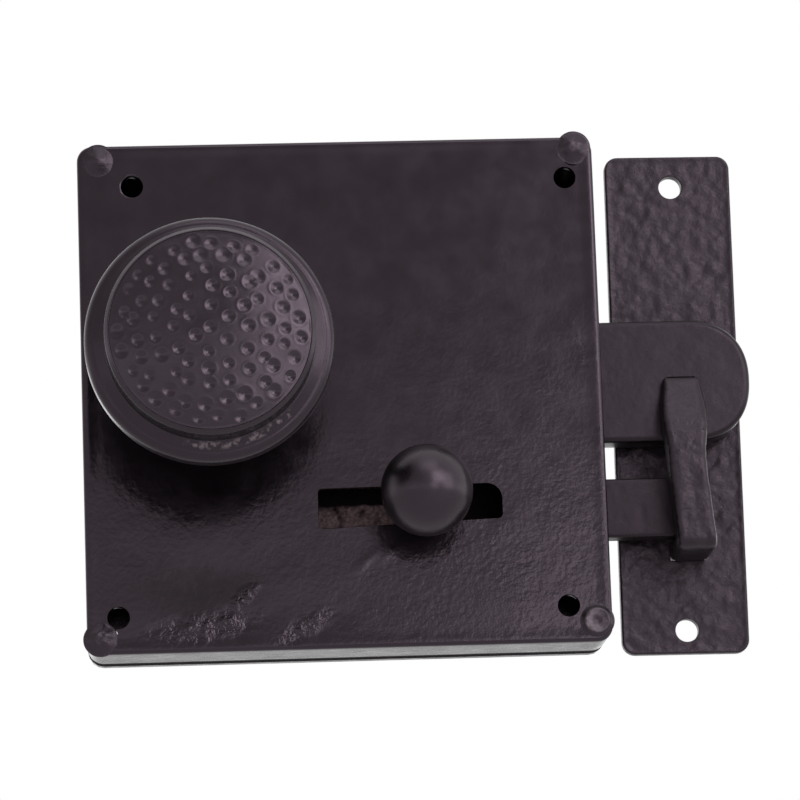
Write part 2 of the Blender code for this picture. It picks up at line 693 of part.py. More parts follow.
def knob_face():
    """Domed sheet set in the lip of the knob, hammered all over with a round punch."""
    rings = 3
    radii = [KNOB_FACE_R * i / rings for i in range(rings + 1)]
    profile = [(radius, dome_height(radius)) for radius in radii]
    profile += [(radius, dome_height(radius) - KNOB_WALL) for radius in reversed(radii)]
    face = new_piece("knob_face", turned(profile, KNOB_X, KNOB_Y, steps=KNOB_ROUND), PAINT, KNOB_AXIS)
    cut(face, punch_marks())


def superellipse_end(cx, cy, half_x, half_y, power, steps):
    """Points down the round end of a bar, from its top corner to its bottom corner."""
    points = []
    for i in range(steps + 1):
        angle = math.radians(90 - 180 * i / steps)
        c = math.cos(angle)
        s = math.sin(angle)
        x = cx + half_x * abs(c) ** (2 / power)
        points.append((x, cy + half_y * math.copysign(abs(s) ** (2 / power), s)))
    return points


def bar_outline():
    """Clockwise from the eye: over the arch that clears the hub, along the bar, round its end and back."""
    hub_low = 185
    pad = KNOB_Y + FINGER_REACH * math.sin(FINGER_REST) + FINGER_TIP_R + SEAT
    pad_angle = math.degrees(math.asin((pad - KNOB_Y) / ARCH_R))
    reach = FINGER_REACH + FINGER_TIP_R + 5 * RUN
    shoulder_x = KNOB_X + reach
    half = BAR_HEIGHT / 2
    outline = arc(PIVOT_X, PIVOT_Y, EYE_R, 270, 90, 10)
    outline += arc(KNOB_X, KNOB_Y, ARCH_R + ARCH_WALL, 135, 75, 5)
    outline.append((SPRING_X - SLOPE_FROM_SPRING, BAR_TOP))
    outline += superellipse_end(BAR_END_X - half, BAR_MIDDLE_Y, half, half, BAR_END_POWER, 16)
    outline += arc(shoulder_x + BAR_SHOULDER_R, BAR_BOTTOM + BAR_SHOULDER_R, BAR_SHOULDER_R, 270, 180, 4)
    outline.append((shoulder_x, pad))
    outline += arc(KNOB_X, KNOB_Y, ARCH_R, pad_angle, hub_low, 12)
    return outline


def latch_bar():
    """Cranked lever cut from thick plate, with a round end and a peg for the spring."""
    bar = new_piece("latch_bar", slab(bar_outline(), BAR_BACK, BAR_FRONT), PAINT, LATCH_AXIS)
    round_edges(bar, BAR_EDGE)
    cut(bar, rod(PIVOT_X, PIVOT_Y, 0, CASE_DEPTH, PIVOT_R + SEAT, 20))
    join(bar, upright_rod(SPRING_X, SPRING_HEIGHT, BAR_TOP - 1 * MM, BAR_TOP + SPRING_PEG, SPRING_PEG_R))


def latch_pivot():
    """Headed pin, riveted in the back plate."""
    under_head = BAR_FRONT + SEAT
    profile = [(0, under_head + PIVOT_HEAD), (PIVOT_HEAD_R - 0.5 * MM, under_head + PIVOT_HEAD)]
    profile += [(PIVOT_HEAD_R, under_head + PIVOT_HEAD - 0.5 * MM), (PIVOT_HEAD_R, under_head)]
    profile += [(PIVOT_R, under_head), (PIVOT_R, SEAT), (0, SEAT)]
    new_piece("latch_pivot", turned(profile, PIVOT_X, PIVOT_Y, steps=20), BRIGHT_STEEL)


def pivot_spacer():
    """Ring that holds the bar off the back plate."""
    bore = PIVOT_R + SEAT
    profile = [(bore, BAR_BACK - SEAT), (EYE_R - RUN, BAR_BACK - SEAT), (EYE_R - RUN, CASE_BACK), (bore, CASE_BACK)]
    new_piece("pivot_spacer", turned(profile, PIVOT_X, PIVOT_Y, steps=20, closed=True), BARE_IRON)


def latch_stop():
    """Pin under the bar, on which it comes to rest."""
    x, y = stop_place()
    top = BAR_FRONT + 1 * MM
    profile = [(0, top), (STOP_R - 0.5 * MM, top), (STOP_R, top - 0.5 * MM), (STOP_R, CASE_BACK)]
    profile += [(RIVET_R, CASE_BACK), (RIVET_R, SEAT), (0, SEAT)]
    new_piece("latch_stop", turned(profile, x, y, steps=20), BRIGHT_STEEL)


def return_spring():
    """Compression spring that pushes the bar down, its turns worked out along a helix."""
    bottom = SPRING_BOTTOM + SPRING_WIRE_R
    top = SPRING_TOP - SPRING_WIRE_R
    per_turn = 8
    steps = SPRING_TURNS * per_turn
    curve = bpy.data.curves.new("return_spring", "CURVE")
    curve.dimensions = "3D"
    curve.bevel_depth = SPRING_WIRE_R
    curve.bevel_resolution = 2
    curve.use_fill_caps = True
    spline = curve.splines.new("POLY")
    spline.points.add(steps)
    for i, point in enumerate(spline.points):
        angle = 2 * math.pi * i / per_turn
        rise = bottom + (top - bottom) * i / steps
        x = SPRING_X + SPRING_R * math.cos(angle)
        out = SPRING_HEIGHT + SPRING_R * math.sin(angle)
        point.co = (x, rise, out, 1)
    holder = bpy.data.objects.new("helix", curve)
    CUTTERS.objects.link(holder)
    mesh = bpy.data.meshes.new_from_object(holder.evaluated_get(bpy.context.evaluated_depsgraph_get()))
    bpy.data.objects.remove(holder)
    clean(mesh)
    new_piece("return_spring", mesh, SPRING_STEEL)


def spring_bracket():
    """Bent sheet: a foot on the back plate and a shelf with a peg, which holds the spring's upper end."""
    shelf = BRACKET_SHELF
    shelf_top = shelf + BRACKET_SHEET
    outline = [(shelf, CASE_BACK), (shelf, CASE_BACK + BRACKET_REACH), (shelf_top, CASE_BACK + BRACKET_REACH)]
    outline += [(shelf_top, CASE_BACK + BRACKET_SHEET), (BRACKET_TOP, CASE_BACK + BRACKET_SHEET)]
    outline.append((BRACKET_TOP, CASE_BACK))
    half = BRACKET_WIDTH / 2
    mesh = slab(outline, SPRING_X - half, SPRING_X + half, "side")
    bracket = new_piece("spring_bracket", mesh, BARE_IRON)
    round_edges(bracket, 0.4 * MM, 1)
    join(bracket, upright_rod(SPRING_X, SPRING_HEIGHT, shelf - SPRING_PEG, shelf_top - 1 * MM, SPRING_PEG_R))
    for x, y in bracket_rivet_places():
        cut(bracket, rod(x, y, 0, CASE_DEPTH, RIVET_R + SEAT, SMALL_ROUND - 4))


def rivet(name, x, y, grip_top):
    """Small rivet from the back of the back plate, its head on what it holds."""
    head = grip_top + SEAT
    profile = [(0, head + RIVET_HEAD), (0.6 * RIVET_HEAD_R, head + 0.8 * RIVET_HEAD), (RIVET_HEAD_R, head)]
    profile += [(RIVET_R, head), (RIVET_R, SEAT), (0, SEAT)]
    new_piece(name, turned(profile, x, y, steps=12), BARE_IRON)


def rivets():
    for number, (x, y) in enumerate(bracket_rivet_places(), 1):
        rivet(f"bracket_rivet_{number}", x, y, CASE_BACK + BRACKET_SHEET)
    for number, (x, y) in enumerate(guide_rivet_places(), 1):
        flush = BOLT_FRONT + RUN + GUIDE_ROOF - SEAT
        new_piece(f"guide_rivet_{number}", rod(x, y, SEAT, flush, RIVET_R, SMALL_ROUND - 4), BARE_IRON)
    rivet("leaf_rivet", *leaf_rivet_place(), CASE_BACK + LEAF_THICK)


def bolt_guides():
    """Blocks with a window that the bolt slides through."""
    low = BOLT_Y - BOLT_HEIGHT / 2 - RUN
    high = BOLT_Y + BOLT_HEIGHT / 2 + RUN
    for number, x in enumerate(GUIDE_X, 1):
        left = x - GUIDE_LENGTH / 2
        right = x + GUIDE_LENGTH / 2
        roof = BOLT_FRONT + RUN + GUIDE_ROOF
        mesh = block((left, guide_bottom(), CASE_BACK), (right, guide_top(), roof))
        guide = new_piece(f"bolt_guide_{number}", mesh, BARE_IRON)
        round_edges(guide, 0.5 * MM, 1)
        cut(guide, block((left - SHEET, low, BOLT_BACK - RUN), (right + SHEET, high, BOLT_FRONT + RUN)))
        for place in guide_rivet_places():
            if abs(place[0] - x) < TINY:
                cut(guide, rod(*place, 0, CASE_DEPTH, RIVET_R + SEAT, SMALL_ROUND - 4))


def bolt_spring():
    """Leaf riveted at its flat end, bowed up to rub on the back of the bolt."""
    crown = BOLT_BACK - SEAT
    steps = 10
    start = LEAF_START_X + LEAF_FLAT
    length = LEAF_END_X - start
    upper = [(LEAF_START_X, CASE_BACK + LEAF_THICK)]
    for i in range(steps + 1):
        bow = math.sin(math.pi * i / steps) ** 2
        upper.append((start + length * i / steps, CASE_BACK + LEAF_THICK + (crown - CASE_BACK - LEAF_THICK) * bow))
    outline = upper + [(x, out - LEAF_THICK) for x, out in reversed(upper)]
    half = LEAF_WIDTH / 2
    leaf = new_piece("bolt_spring", slab(outline, -BOLT_Y - half, -BOLT_Y + half, "down"), SPRING_STEEL)
    cut(leaf, rod(*leaf_rivet_place(), 0, CASE_DEPTH, RIVET_R + SEAT, SMALL_ROUND - 4))


def slide_bolt():
    """Flat privacy bolt, tapped for the ball's stem."""
    low = (BOLT_TAIL_X, BOLT_Y - BOLT_HEIGHT / 2, BOLT_BACK)
    high = (BOLT_END_X, BOLT_Y + BOLT_HEIGHT / 2, BOLT_FRONT)
    bolt = new_piece("slide_bolt", block(low, high), BARE_IRON, BOLT_AXIS)
    round_edges(bolt, BOLT_EDGE)
    cut(bolt, rod(BALL_X, BALL_Y, BOLT_BACK + 1 * MM, CASE_DEPTH, STEM_TENON_R + SEAT))


def slide_knob():
    """Turned ball on a stem, screwed into the bolt."""
    neck = math.degrees(math.asin(STEM_R / BALL_R))
    ball = arc(0, BALL_HEIGHT, BALL_R, 90, -90 + neck, 12)
    profile = [(max(radius, 0), height) for radius, height in ball]
    profile[0] = (0, BALL_HEIGHT + BALL_R)
    stem_foot = BOLT_FRONT + SEAT
    profile += [(STEM_R, stem_foot), (STEM_TENON_R, stem_foot), (STEM_TENON_R, BOLT_BACK + 1.5 * MM)]
    profile.append((0, BOLT_BACK + 1.5 * MM))
    new_piece("slide_knob", turned(profile, BALL_X, BALL_Y), PAINT, BOLT_AXIS)


def hook_tenon(low, high, play=0):
    """The hook's tenon, or with play the slot for it in the keeper plate."""
    side = HOOK_WIDTH / 2 - HOOK_TENON_SHOULDER + play
    bottom = HOOK_FOOT_Y + HOOK_TENON_SHOULDER - play
    top = HOOK_FOOT_Y + HOOK_FOOT - HOOK_TENON_SHOULDER + play
    return block((HOOK_FOOT_X - side, bottom, low), (HOOK_FOOT_X + side, top, high))


def keeper_plate():
    """Flat plate, which lies a little turned, as the photograph shows it."""
    half = KEEPER_HEIGHT / 2
    outline = rounded_box(-KEEPER_WIDTH / 2, -half, KEEPER_WIDTH / 2, half, [KEEPER_CORNER] * 4)
    place = Matrix.Translation((KEEPER_X, KEEPER_MIDDLE_Y, 0)) @ Matrix.Rotation(KEEPER_TURN, 4, "Z")
    mesh = slab(outline, 0, KEEPER_THICK)
    mesh.transform(place)
    plate = new_piece("keeper_plate", mesh, ROUGH_PAINT)
    round_edges(plate, 0.5 * MM, 2)
    through = (-KEEPER_THICK, 2 * KEEPER_THICK)
    for end, (from_middle, inset) in ((1, KEEPER_TOP_HOLE), (-1, KEEPER_BOTTOM_HOLE)):
        hole = rod(from_middle, end * (half - inset), *through, KEEPER_HOLE_R, 20)
        hole.transform(place)
        cut(plate, hole)
    cut(plate, hook_tenon(*through, SEAT))


def hook_front_outline():
    """The hook from the front, up its right side and down its left."""
    levels = [
        (HOOK_FOOT_Y, HOOK_FOOT_X, HOOK_WIDTH),
        (HOOK_TOP_Y - HOOK_NECK, HOOK_X, HOOK_WIDTH),
        (HOOK_TOP_Y - HOOK_CHEEK, HOOK_X, HOOK_CHEEK_WIDTH),
        (HOOK_TOP_Y, HOOK_X, HOOK_TIP_WIDTH),
    ]
    right = [(middle + width / 2, y) for y, middle, width in levels]
    left = [(middle - width / 2, y) for y, middle, width in reversed(levels)]
    return right + left


def keeper_hook():
    """Its side outline, a foot, an upright in front of the bar and a ramp, cut to its front outline."""
    inside = BAR_FRONT + HOOK_PLAY
    foot_top = HOOK_FOOT_Y + HOOK_FOOT
    shoulder = KEEPER_THICK + SEAT
    outline = [(HOOK_FOOT_Y, shoulder)]
    outline += arc(HOOK_FOOT_Y + HOOK_FOOT_ROUND, CASE_DEPTH - HOOK_FOOT_ROUND, HOOK_FOOT_ROUND, 180, 90, 3)
    outline += [(HOOK_TOP_Y - HOOK_RAMP, CASE_DEPTH), (HOOK_TOP_Y, inside + HOOK_TIP), (HOOK_TOP_Y, inside)]
    outline += [(foot_top, inside), (foot_top, shoulder)]
    left = min(HOOK_X, HOOK_FOOT_X) - HOOK_CHEEK_WIDTH
    right = max(HOOK_X, HOOK_FOOT_X) + HOOK_CHEEK_WIDTH
    hook = new_piece("keeper_hook", slab(outline, left, right, "side"), ROUGH_PAINT)
    combine(hook, "INTERSECT", slab(hook_front_outline(), 0, CASE_DEPTH + SHEET))
    round_edges(hook, HOOK_EDGE, 2)
    join(hook, hook_tenon(SEAT, shoulder + 1 * MM))


clear_scene()
PARTS = new_collection("privacy_door_latch")
CUTTERS = new_collection("cutters")
DOOR_PLANE = new_empty("door_plane", turn=(math.radians(90), 0, 0))
KNOB_AXIS = new_empty("knob_axis", DOOR_PLANE, (KNOB_X, KNOB_Y, 0))
LATCH_AXIS = new_empty("latch_axis", DOOR_PLANE, (PIVOT_X, PIVOT_Y, 0))
BOLT_AXIS = new_empty("bolt_axis", DOOR_PLANE, (BALL_X, BOLT_Y, 0))

front_cover()
back_plate()
corner_posts()
front_bush()
rear_bush()
lift_hub()
spindle()
knob_shank()
knob_set_screw()
knob_body()
knob_face()
latch_bar()
latch_pivot()
pivot_spacer()
latch_stop()
return_spring()
spring_bracket()
bolt_guides()
bolt_spring()
rivets()
slide_bolt()
slide_knob()
keeper_plate()
keeper_hook()
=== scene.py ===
"""Privacy door latch: the fine surfaces and finishes of an iron box latch, its knob, bar, bolt and keeper."""
import itertools
import json
import math
import random

import bmesh
import bpy
import numpy as np
from mathutils import Matrix, Vector


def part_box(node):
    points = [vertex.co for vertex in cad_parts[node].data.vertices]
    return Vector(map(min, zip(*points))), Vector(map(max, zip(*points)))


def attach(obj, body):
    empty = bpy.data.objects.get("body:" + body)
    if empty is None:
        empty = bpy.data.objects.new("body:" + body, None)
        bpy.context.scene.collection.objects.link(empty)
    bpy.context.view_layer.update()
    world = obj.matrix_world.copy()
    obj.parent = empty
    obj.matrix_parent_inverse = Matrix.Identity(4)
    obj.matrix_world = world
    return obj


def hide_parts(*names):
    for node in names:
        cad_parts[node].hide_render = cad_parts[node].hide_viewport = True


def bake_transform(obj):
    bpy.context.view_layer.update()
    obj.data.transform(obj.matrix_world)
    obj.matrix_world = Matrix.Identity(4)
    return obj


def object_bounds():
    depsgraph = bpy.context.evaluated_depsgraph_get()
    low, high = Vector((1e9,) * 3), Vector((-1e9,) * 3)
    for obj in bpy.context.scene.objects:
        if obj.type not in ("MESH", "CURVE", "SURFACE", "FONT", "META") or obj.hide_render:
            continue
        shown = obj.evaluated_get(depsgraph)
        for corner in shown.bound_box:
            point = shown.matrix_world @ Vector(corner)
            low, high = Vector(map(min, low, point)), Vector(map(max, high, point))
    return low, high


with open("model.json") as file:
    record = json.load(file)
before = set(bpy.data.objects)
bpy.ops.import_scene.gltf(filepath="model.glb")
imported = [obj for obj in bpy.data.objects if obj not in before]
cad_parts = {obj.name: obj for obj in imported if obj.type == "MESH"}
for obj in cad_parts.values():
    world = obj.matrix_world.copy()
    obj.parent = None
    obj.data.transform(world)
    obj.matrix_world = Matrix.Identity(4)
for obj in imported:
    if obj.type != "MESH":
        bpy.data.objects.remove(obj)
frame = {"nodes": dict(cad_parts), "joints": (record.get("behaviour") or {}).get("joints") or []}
cad_low, cad_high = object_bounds()
MM = 0.001

# Camera: a long lens a little to the left of the case and below it, looking up at it.
# The latch lies slightly turned in the picture, so the camera is rolled.
eye = Vector((-0.0459, -0.9513, -0.1841))
yaw = math.radians(3.597)
pitch = math.radians(11.055)
roll = math.radians(-2.053)
forward = Vector((math.sin(yaw) * math.cos(pitch), math.cos(yaw) * math.cos(pitch), math.sin(pitch)))
level_right = Vector((math.cos(yaw), -math.sin(yaw), 0))
level_up = level_right.cross(forward)
picture_right = math.cos(roll) * level_right + math.sin(roll) * level_up
picture_up = -math.sin(roll) * level_right + math.cos(roll) * level_up
camera = bpy.data.objects.new("camera", bpy.data.cameras.new("camera"))
camera.data.sensor_width = 36
camera.data.lens = 193.5
camera.matrix_world = Matrix((picture_right, picture_up, -forward)).transposed().to_4x4()
camera.location = eye
bpy.context.scene.collection.objects.link(camera)
bpy.context.scene.camera = camera
bpy.context.scene.view_settings.view_transform = "Standard"

# Room: white to the lens. As light, it is bright beside and behind the latch, dimmer in front of it and on
# its left, and brighter again in a low band that lower edges catch. A pale floor lies well below the latch,
# and soft lamps stand in front of it, above and to the right.
FRONT_LIGHT = 0.61
SIDE_LIGHT = 1.2
LEFT_SHADE = 0.7
LOW_GLOW = 0.62
FLOOR_BELOW = 0.27
FLOOR_HALF = 4.0
FLOOR_TONE = 0.55
OWN_GLOW = (("Is Camera Ray", 0.9), ("Is Glossy Ray", 0.5), ("Is Transmission Ray", 0.5))


def node(tree, kind, **values):
    """A shader node with its properties and its unlinked sockets set by name."""
    made = tree.nodes.new("ShaderNode" + kind)
    for name, value in values.items():
        if hasattr(made, name):
            setattr(made, name, value)
        else:
            made.inputs[name.replace("_", " ")].default_value = value
    return made


def link(source, target):
    """Join one socket to another, in the tree that they are in."""
    source.id_data.links.new(source, target)


def arithmetic(operation, first, second=0):
    """The result of one operation on a socket and another socket or number."""
    made = node(first.id_data, "Math", operation=operation)
    for socket, value in zip(made.inputs, (first, second)):
        if isinstance(value, (int, float)):
            socket.default_value = value
        else:
            link(value, socket)
    return made.outputs[0]


def plus(first, *others):
    """The sum of a socket and other sockets or numbers."""
    for other in others:
        first = arithmetic("ADD", first, other)
    return first


def minus(first, second):
    """A socket less another socket or number."""
    return arithmetic("SUBTRACT", first, second)


def times(first, second):
    """A socket multiplied by another socket or number."""
    return arithmetic("MULTIPLY", first, second)


def ramp(value, low, high, low_at=0.3, high_at=0.7):
    """A number that runs from low to high as a tone runs between two levels."""
    made = node(value.id_data, "MapRange", From_Min=low_at, From_Max=high_at, To_Min=low, To_Max=high)
    link(value, made.inputs["Value"])
    return made.outputs["Result"]


def mixed(share, first, second):
    """Two shaders in one, from the first to the second as the share goes from 0 to 1."""
    mix = node(share.id_data, "MixShader")
    link(share, mix.inputs["Fac"])
    link(first, mix.inputs[1])
    link(second, mix.inputs[2])
    return mix.outputs["Shader"]


def white_room():
    """Light by its direction: from the front light to the side light along Y, later on the left, with the low
    glow added near the level. The lens sees plain white."""
    world = bpy.data.worlds.new("white_room")
    bpy.context.scene.world = world
    world.use_nodes = True
    tree = world.node_tree
    tree.nodes.clear()
    direction = node(tree, "SeparateXYZ")
    link(node(tree, "TexCoord").outputs["Generated"], direction.inputs["Vector"])
    leftward = arithmetic("MINIMUM", direction.outputs["X"])
    depth = plus(times(leftward, LEFT_SHADE), direction.outputs["Y"])
    around = ramp(depth, FRONT_LIGHT, SIDE_LIGHT, -0.9, -0.2)
    low = ramp(direction.outputs["Z"], LOW_GLOW, 0, 0.05, 0.22)
    light = node(tree, "Background", Color=(1, 1, 1, 1))
    link(plus(around, low), light.inputs["Strength"])
    plain = node(tree, "Background", Color=(1, 1, 1, 1), Strength=1)
    lens = node(tree, "LightPath").outputs["Is Camera Ray"]
    shown = mixed(lens, light.outputs["Background"], plain.outputs["Background"])
    link(shown, node(tree, "OutputWorld").inputs["Surface"])


def own_glow(tree):
    """Share of the floor's paleness that is its own: most of it for the lens and about half for a gloss."""
    rays = node(tree, "LightPath")
    return plus(*[times(rays.outputs[kind], share) for kind, share in OWN_GLOW])


def pale_floor():
    """A flat square. Part of its paleness is its own, so that it looks white without more light."""
    mesh = bpy.data.meshes.new("floor")
    level = cad_low.z - FLOOR_BELOW
    corners = [(x * FLOOR_HALF, y * FLOOR_HALF, level) for x, y in ((-1, -1), (1, -1), (1, 1), (-1, 1))]
    mesh.from_pydata(corners, [], [(0, 1, 2, 3)])
    floor = bpy.data.objects.new("floor", mesh)
    bpy.context.scene.collection.objects.link(floor)
    paper = bpy.data.materials.new("pale_floor")
    paper.use_nodes = True
    tree = paper.node_tree
    shader = tree.nodes["Principled BSDF"]
    shader.inputs["Base Color"].default_value = (FLOOR_TONE, FLOOR_TONE, FLOOR_TONE, 1)
    shader.inputs["Roughness"].default_value = 0.9
    glow = node(tree, "Emission", Color=(1, 1, 1, 1), Strength=1)
    both = mixed(own_glow(tree), shader.outputs["BSDF"], glow.outputs["Emission"])
    link(both, tree.nodes["Material Output"].inputs["Surface"])
    mesh.materials.append(paper)


def soft_lamp(name, place, width, height, power):
    """An area lamp that shines at the middle of the case."""
    lamp = bpy.data.lights.new(name, "AREA")
    lamp.shape = "RECTANGLE"
    lamp.size = width
    lamp.size_y = height
    lamp.energy = power
    holder = bpy.data.objects.new(name, lamp)
    holder.location = place
    holder.rotation_euler = (-Vector(place)).to_track_quat("-Z", "Y").to_euler()
    bpy.context.scene.collection.objects.link(holder)


white_room()
pale_floor()
soft_lamp("window", (0.46, -0.91, 0.41), 0.5, 0.5, 2.95)
soft_lamp("low_lamp", (0.27, -0.96, 0.02), 0.3, 0.22, 0.36)
soft_lamp("right_lamp", (0.83, -0.69, 0.23), 0.45, 0.6, 1.7)
soft_lamp("high_lamp", (0.10, -0.67, 0.87), 0.6, 0.5, 1.5)

# Painted iron: satin black paint, brushed thinly over sheet, cast and forged iron.
# It varies a little in colour and gloss, and dries with a fine orange peel.


def speckle(tree, grain, detail=3, stretch=(1, 1, 1)):
    """Random tone on the piece's own coordinates, with spots of about the given size in metres."""
    scaled = node(tree, "Mapping", Scale=stretch)
    link(node(tree, "TexCoord").outputs["Object"], scaled.inputs["Vector"])
    noise = node(tree, "TexNoise", Scale=1 / grain, Detail=detail, Roughness=0.55)
    link(scaled.outputs["Vector"], noise.inputs["Vector"])
    return noise.outputs["Fac"]


def tint(share, first, second):
    """Colour that goes from the first to the second with a share from 0 to 1."""
    mix = node(share.id_data, "Mix", data_type="RGBA")
    colour_inputs = [socket for socket in mix.inputs if socket.type == "RGBA"]
    for socket, colour in zip(colour_inputs, (first, second)):
        if isinstance(colour, tuple):
            socket.default_value = (*colour, 1)
        else:
            link(colour, socket)
    link(share, mix.inputs["Factor"])
    return next(socket for socket in mix.outputs if socket.type == "RGBA")


def bumps(*heights):
    """Bump nodes one on another, each with its height and how deep that height is in metres."""
    normal = None
    for height, depth in heights:
        bump = node(height.id_data, "Bump", Strength=1.0, Distance=depth)
        link(height, bump.inputs["Height"])
        if normal is not None:
            link(normal, bump.inputs["Normal"])
        normal = bump.outputs["Normal"]
    return normal


def mottled(spots, dark, light):
    """Colour that goes from dark to light with spots of random tone."""
    return tint(ramp(spots, 0, 1), dark, light)


def laid_on(shader, colour, rough, *heights):
    """Give a finish its colour, its roughness and its relief."""
    link(colour, shader.inputs["Base Color"])
    link(rough, shader.inputs["Roughness"])
    link(bumps(*heights), shader.inputs["Normal"])


def new_finish(name, metallic=0.0, sheen=(1, 1, 1)):
    """A Principled material. Returns it with its node tree and shader."""
    made = bpy.data.materials.new(name)
    made.use_nodes = True
    shader = made.node_tree.nodes["Principled BSDF"]
    shader.inputs["Metallic"].default_value = metallic
    shader.inputs["Specular Tint"].default_value = (*sheen, 1)
    return made, made.node_tree, shader


PAINT_SHEEN = (1.0, 0.78, 0.97)
PAINT_THIN = (0.0018, 0.0013, 0.0017)
PAINT_THICK = (0.0035, 0.0025, 0.0032)


def painted_iron(name, rough, peel, peel_depth, brushed, brushed_depth, gloss=0.5):
    """Satin paint from a thin to a thick colour, with an orange peel and broader unevenness under it."""
    made, tree, shader = new_finish(name, sheen=PAINT_SHEEN)
    shader.inputs["Specular IOR Level"].default_value = gloss
    colour = mottled(speckle(tree, 14 * MM), PAINT_THIN, PAINT_THICK)
    satin = ramp(speckle(tree, 5 * MM), rough - 0.06, rough + 0.08)
    fine = speckle(tree, peel, detail=2)
    broad = speckle(tree, brushed, detail=2)
    laid_on(shader, colour, satin, (broad, brushed_depth), (fine, peel_depth))
    return made


CASE_PAINT = painted_iron("case_paint", 0.26, 0.9 * MM, 0.03 * MM, 3 * MM, 0.05 * MM)

# Back plate: flat sheet iron as large as the case, which everything inside is riveted to.
# It is painted like the case, and its screw holes are drilled by hand.


def weave(rows, columns, rows_around=False, columns_around=False):
    """Quads between neighbours on a grid numbered row by row. Either way may join its end to its start."""
    first = np.arange(rows - (not rows_around))
    i, j = np.meshgrid(first, np.arange(columns - (not columns_around)), indexing="ij")
    down = (i + 1) % rows
    along = (j + 1) % columns
    corners = [i * columns + j, i * columns + along, down * columns + along, down * columns + j]
    return np.stack(corners, axis=-1).reshape(-1, 4)


def stand(x, up, out):
    """Places given as right, up and out of the door, in the frame's own axes."""
    return np.stack(np.broadcast_arrays(x, -np.asarray(out), up), axis=-1).astype(float)


def new_solid(name, points, faces):
    """A piece from an array of places and its faces, turned inside out if its volume comes out negative."""
    mesh = bpy.data.meshes.new(name)
    mesh.from_pydata(points.reshape(-1, 3).tolist(), [], faces)
    shape = bmesh.new()
    shape.from_mesh(mesh)
    if shape.calc_volume(signed=True) < 0:
        bmesh.ops.reverse_faces(shape, faces=shape.faces)
    shape.to_mesh(mesh)
    shape.free()
    piece = bpy.data.objects.new(name, mesh)
    bpy.context.scene.collection.objects.link(piece)
    return piece


def skin(name, *parts):
    """A closed surface over each set of rings of points, with a flat face on its first and last rings."""
    faces = []
    count = 0
    for rings in parts:
        rows, columns = rings.shape[:2]
        last = count + (rows - 1) * columns
        faces += (weave(rows, columns, columns_around=True) + count).tolist()
        faces += [list(range(count, count + columns)), list(range(last, last + columns))]
        count += rows * columns
    return new_solid(name, np.concatenate([rings.reshape(-1, 3) for rings in parts]), faces)


def settle(piece):
    """Keep the shape that a piece's modifiers give it as its mesh."""
    mesh = bpy.data.meshes.new_from_object(piece.evaluated_get(bpy.context.evaluated_depsgraph_get()))
    piece.modifiers.clear()
    piece.data = mesh


def grow(piece, kind, *parts):
    """Cut closed sets of rings out of a piece or join them on."""
    tool = skin("tool", *parts)
    modifier = piece.modifiers.new(kind, "BOOLEAN")
    modifier.operation = kind
    modifier.solver = "EXACT"
    modifier.object = tool
    settle(piece)
    bpy.data.objects.remove(tool)


def once_round(count):
    """Angles evenly spaced once round a circle."""
    return np.linspace(0, 2 * np.pi, count, endpoint=False)


def hoops(x, up, radius, out, count):
    """Circles about an axis that stands out of the door, one for each radius and height off the door."""
    turn = once_round(count)
    return stand(x + radius * np.cos(turn), up + radius * np.sin(turn), out)


def flared(low, high, flare):
    """How far a drill or cutter spreads, and at which heights. Its mouth spreads in a quarter of a circle."""
    quarter = np.linspace(0, np.pi / 2, 5)
    spread = np.concatenate([[0], flare * (1 - np.cos(quarter)), [flare]])
    return spread, np.concatenate([[low], high - flare + flare * np.sin(quarter), [high + 1 * MM]])


def drilled(x, up, radius, low, high, flare=0.0):
    """Rings of a drill from low to high."""
    spread, levels = flared(low, high, flare)
    return hoops(x, up, radius + spread[:, None], levels[:, None], 48)


def fit(piece, body, slot, finish, *nodes, sharp=40):
    """Shade, paint and place a finished piece, which stands for the nodes that are named. A piece with no
    body is not attached to one."""
    piece.data.materials.clear()
    piece.data.materials.append(finish)
    piece.data.shade_smooth()
    piece.data.set_sharp_from_angle(angle=math.radians(sharp))
    if body:
        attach(piece, body)
    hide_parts(*nodes)


def coat(slot, finish, *nodes):
    """Finish the nodes that keep their own shape."""
    for name in nodes:
        piece = frame["nodes"][name]
        piece.data.materials.clear()
        piece.data.materials.append(finish)


coat("case_paint", CASE_PAINT, "back_plate")

# Corner posts: round iron rods with a collar on the back plate, which hold the cover to it.
# Each is headed cold with a hammer, so its head is lumpy and has spread to one side. The flattest one is
# grey in spots on its top.
POST_R = 1.9 * MM
POST_INSET = 4.5 * MM
COLLAR_R = 3.2 * MM
COLLAR = 1.5 * MM
HEAD_UNDER = 0.6 * MM
POST_SIDES = 72
DULL_ROUGHER = 0.35
DULL_GLOSS = 0.12
# Grey of the spots on the flattest head's top.
GREY_SPOT_TONE = (0.13, 0.11, 0.12)


def eased(t):
    """From 0 to 1 with no corner at either end: 3 t squared minus 2 t cubed."""
    t = np.clip(t, 0, 1)
    return t * t * (3 - 2 * t)


def lumps(points, size, seed):
    """Smooth random lumps from -1 to 1: random heights on a lattice of cubes of one size, eased from corner
    to corner of each cube."""
    lattice = np.random.default_rng(seed).uniform(-1, 1, (24, 24, 24))
    place = points / size + 240
    cell = np.floor(place).astype(int)
    t = eased(place - cell)
    total = np.zeros(points.shape[:-1])
    for step in itertools.product((0, 1), repeat=3):
        weight = np.prod(np.where(step, t, 1 - t), axis=-1)
        at = (cell + step) % 24
        total = total + weight * lattice[at[..., 0], at[..., 1], at[..., 2]]
    return total


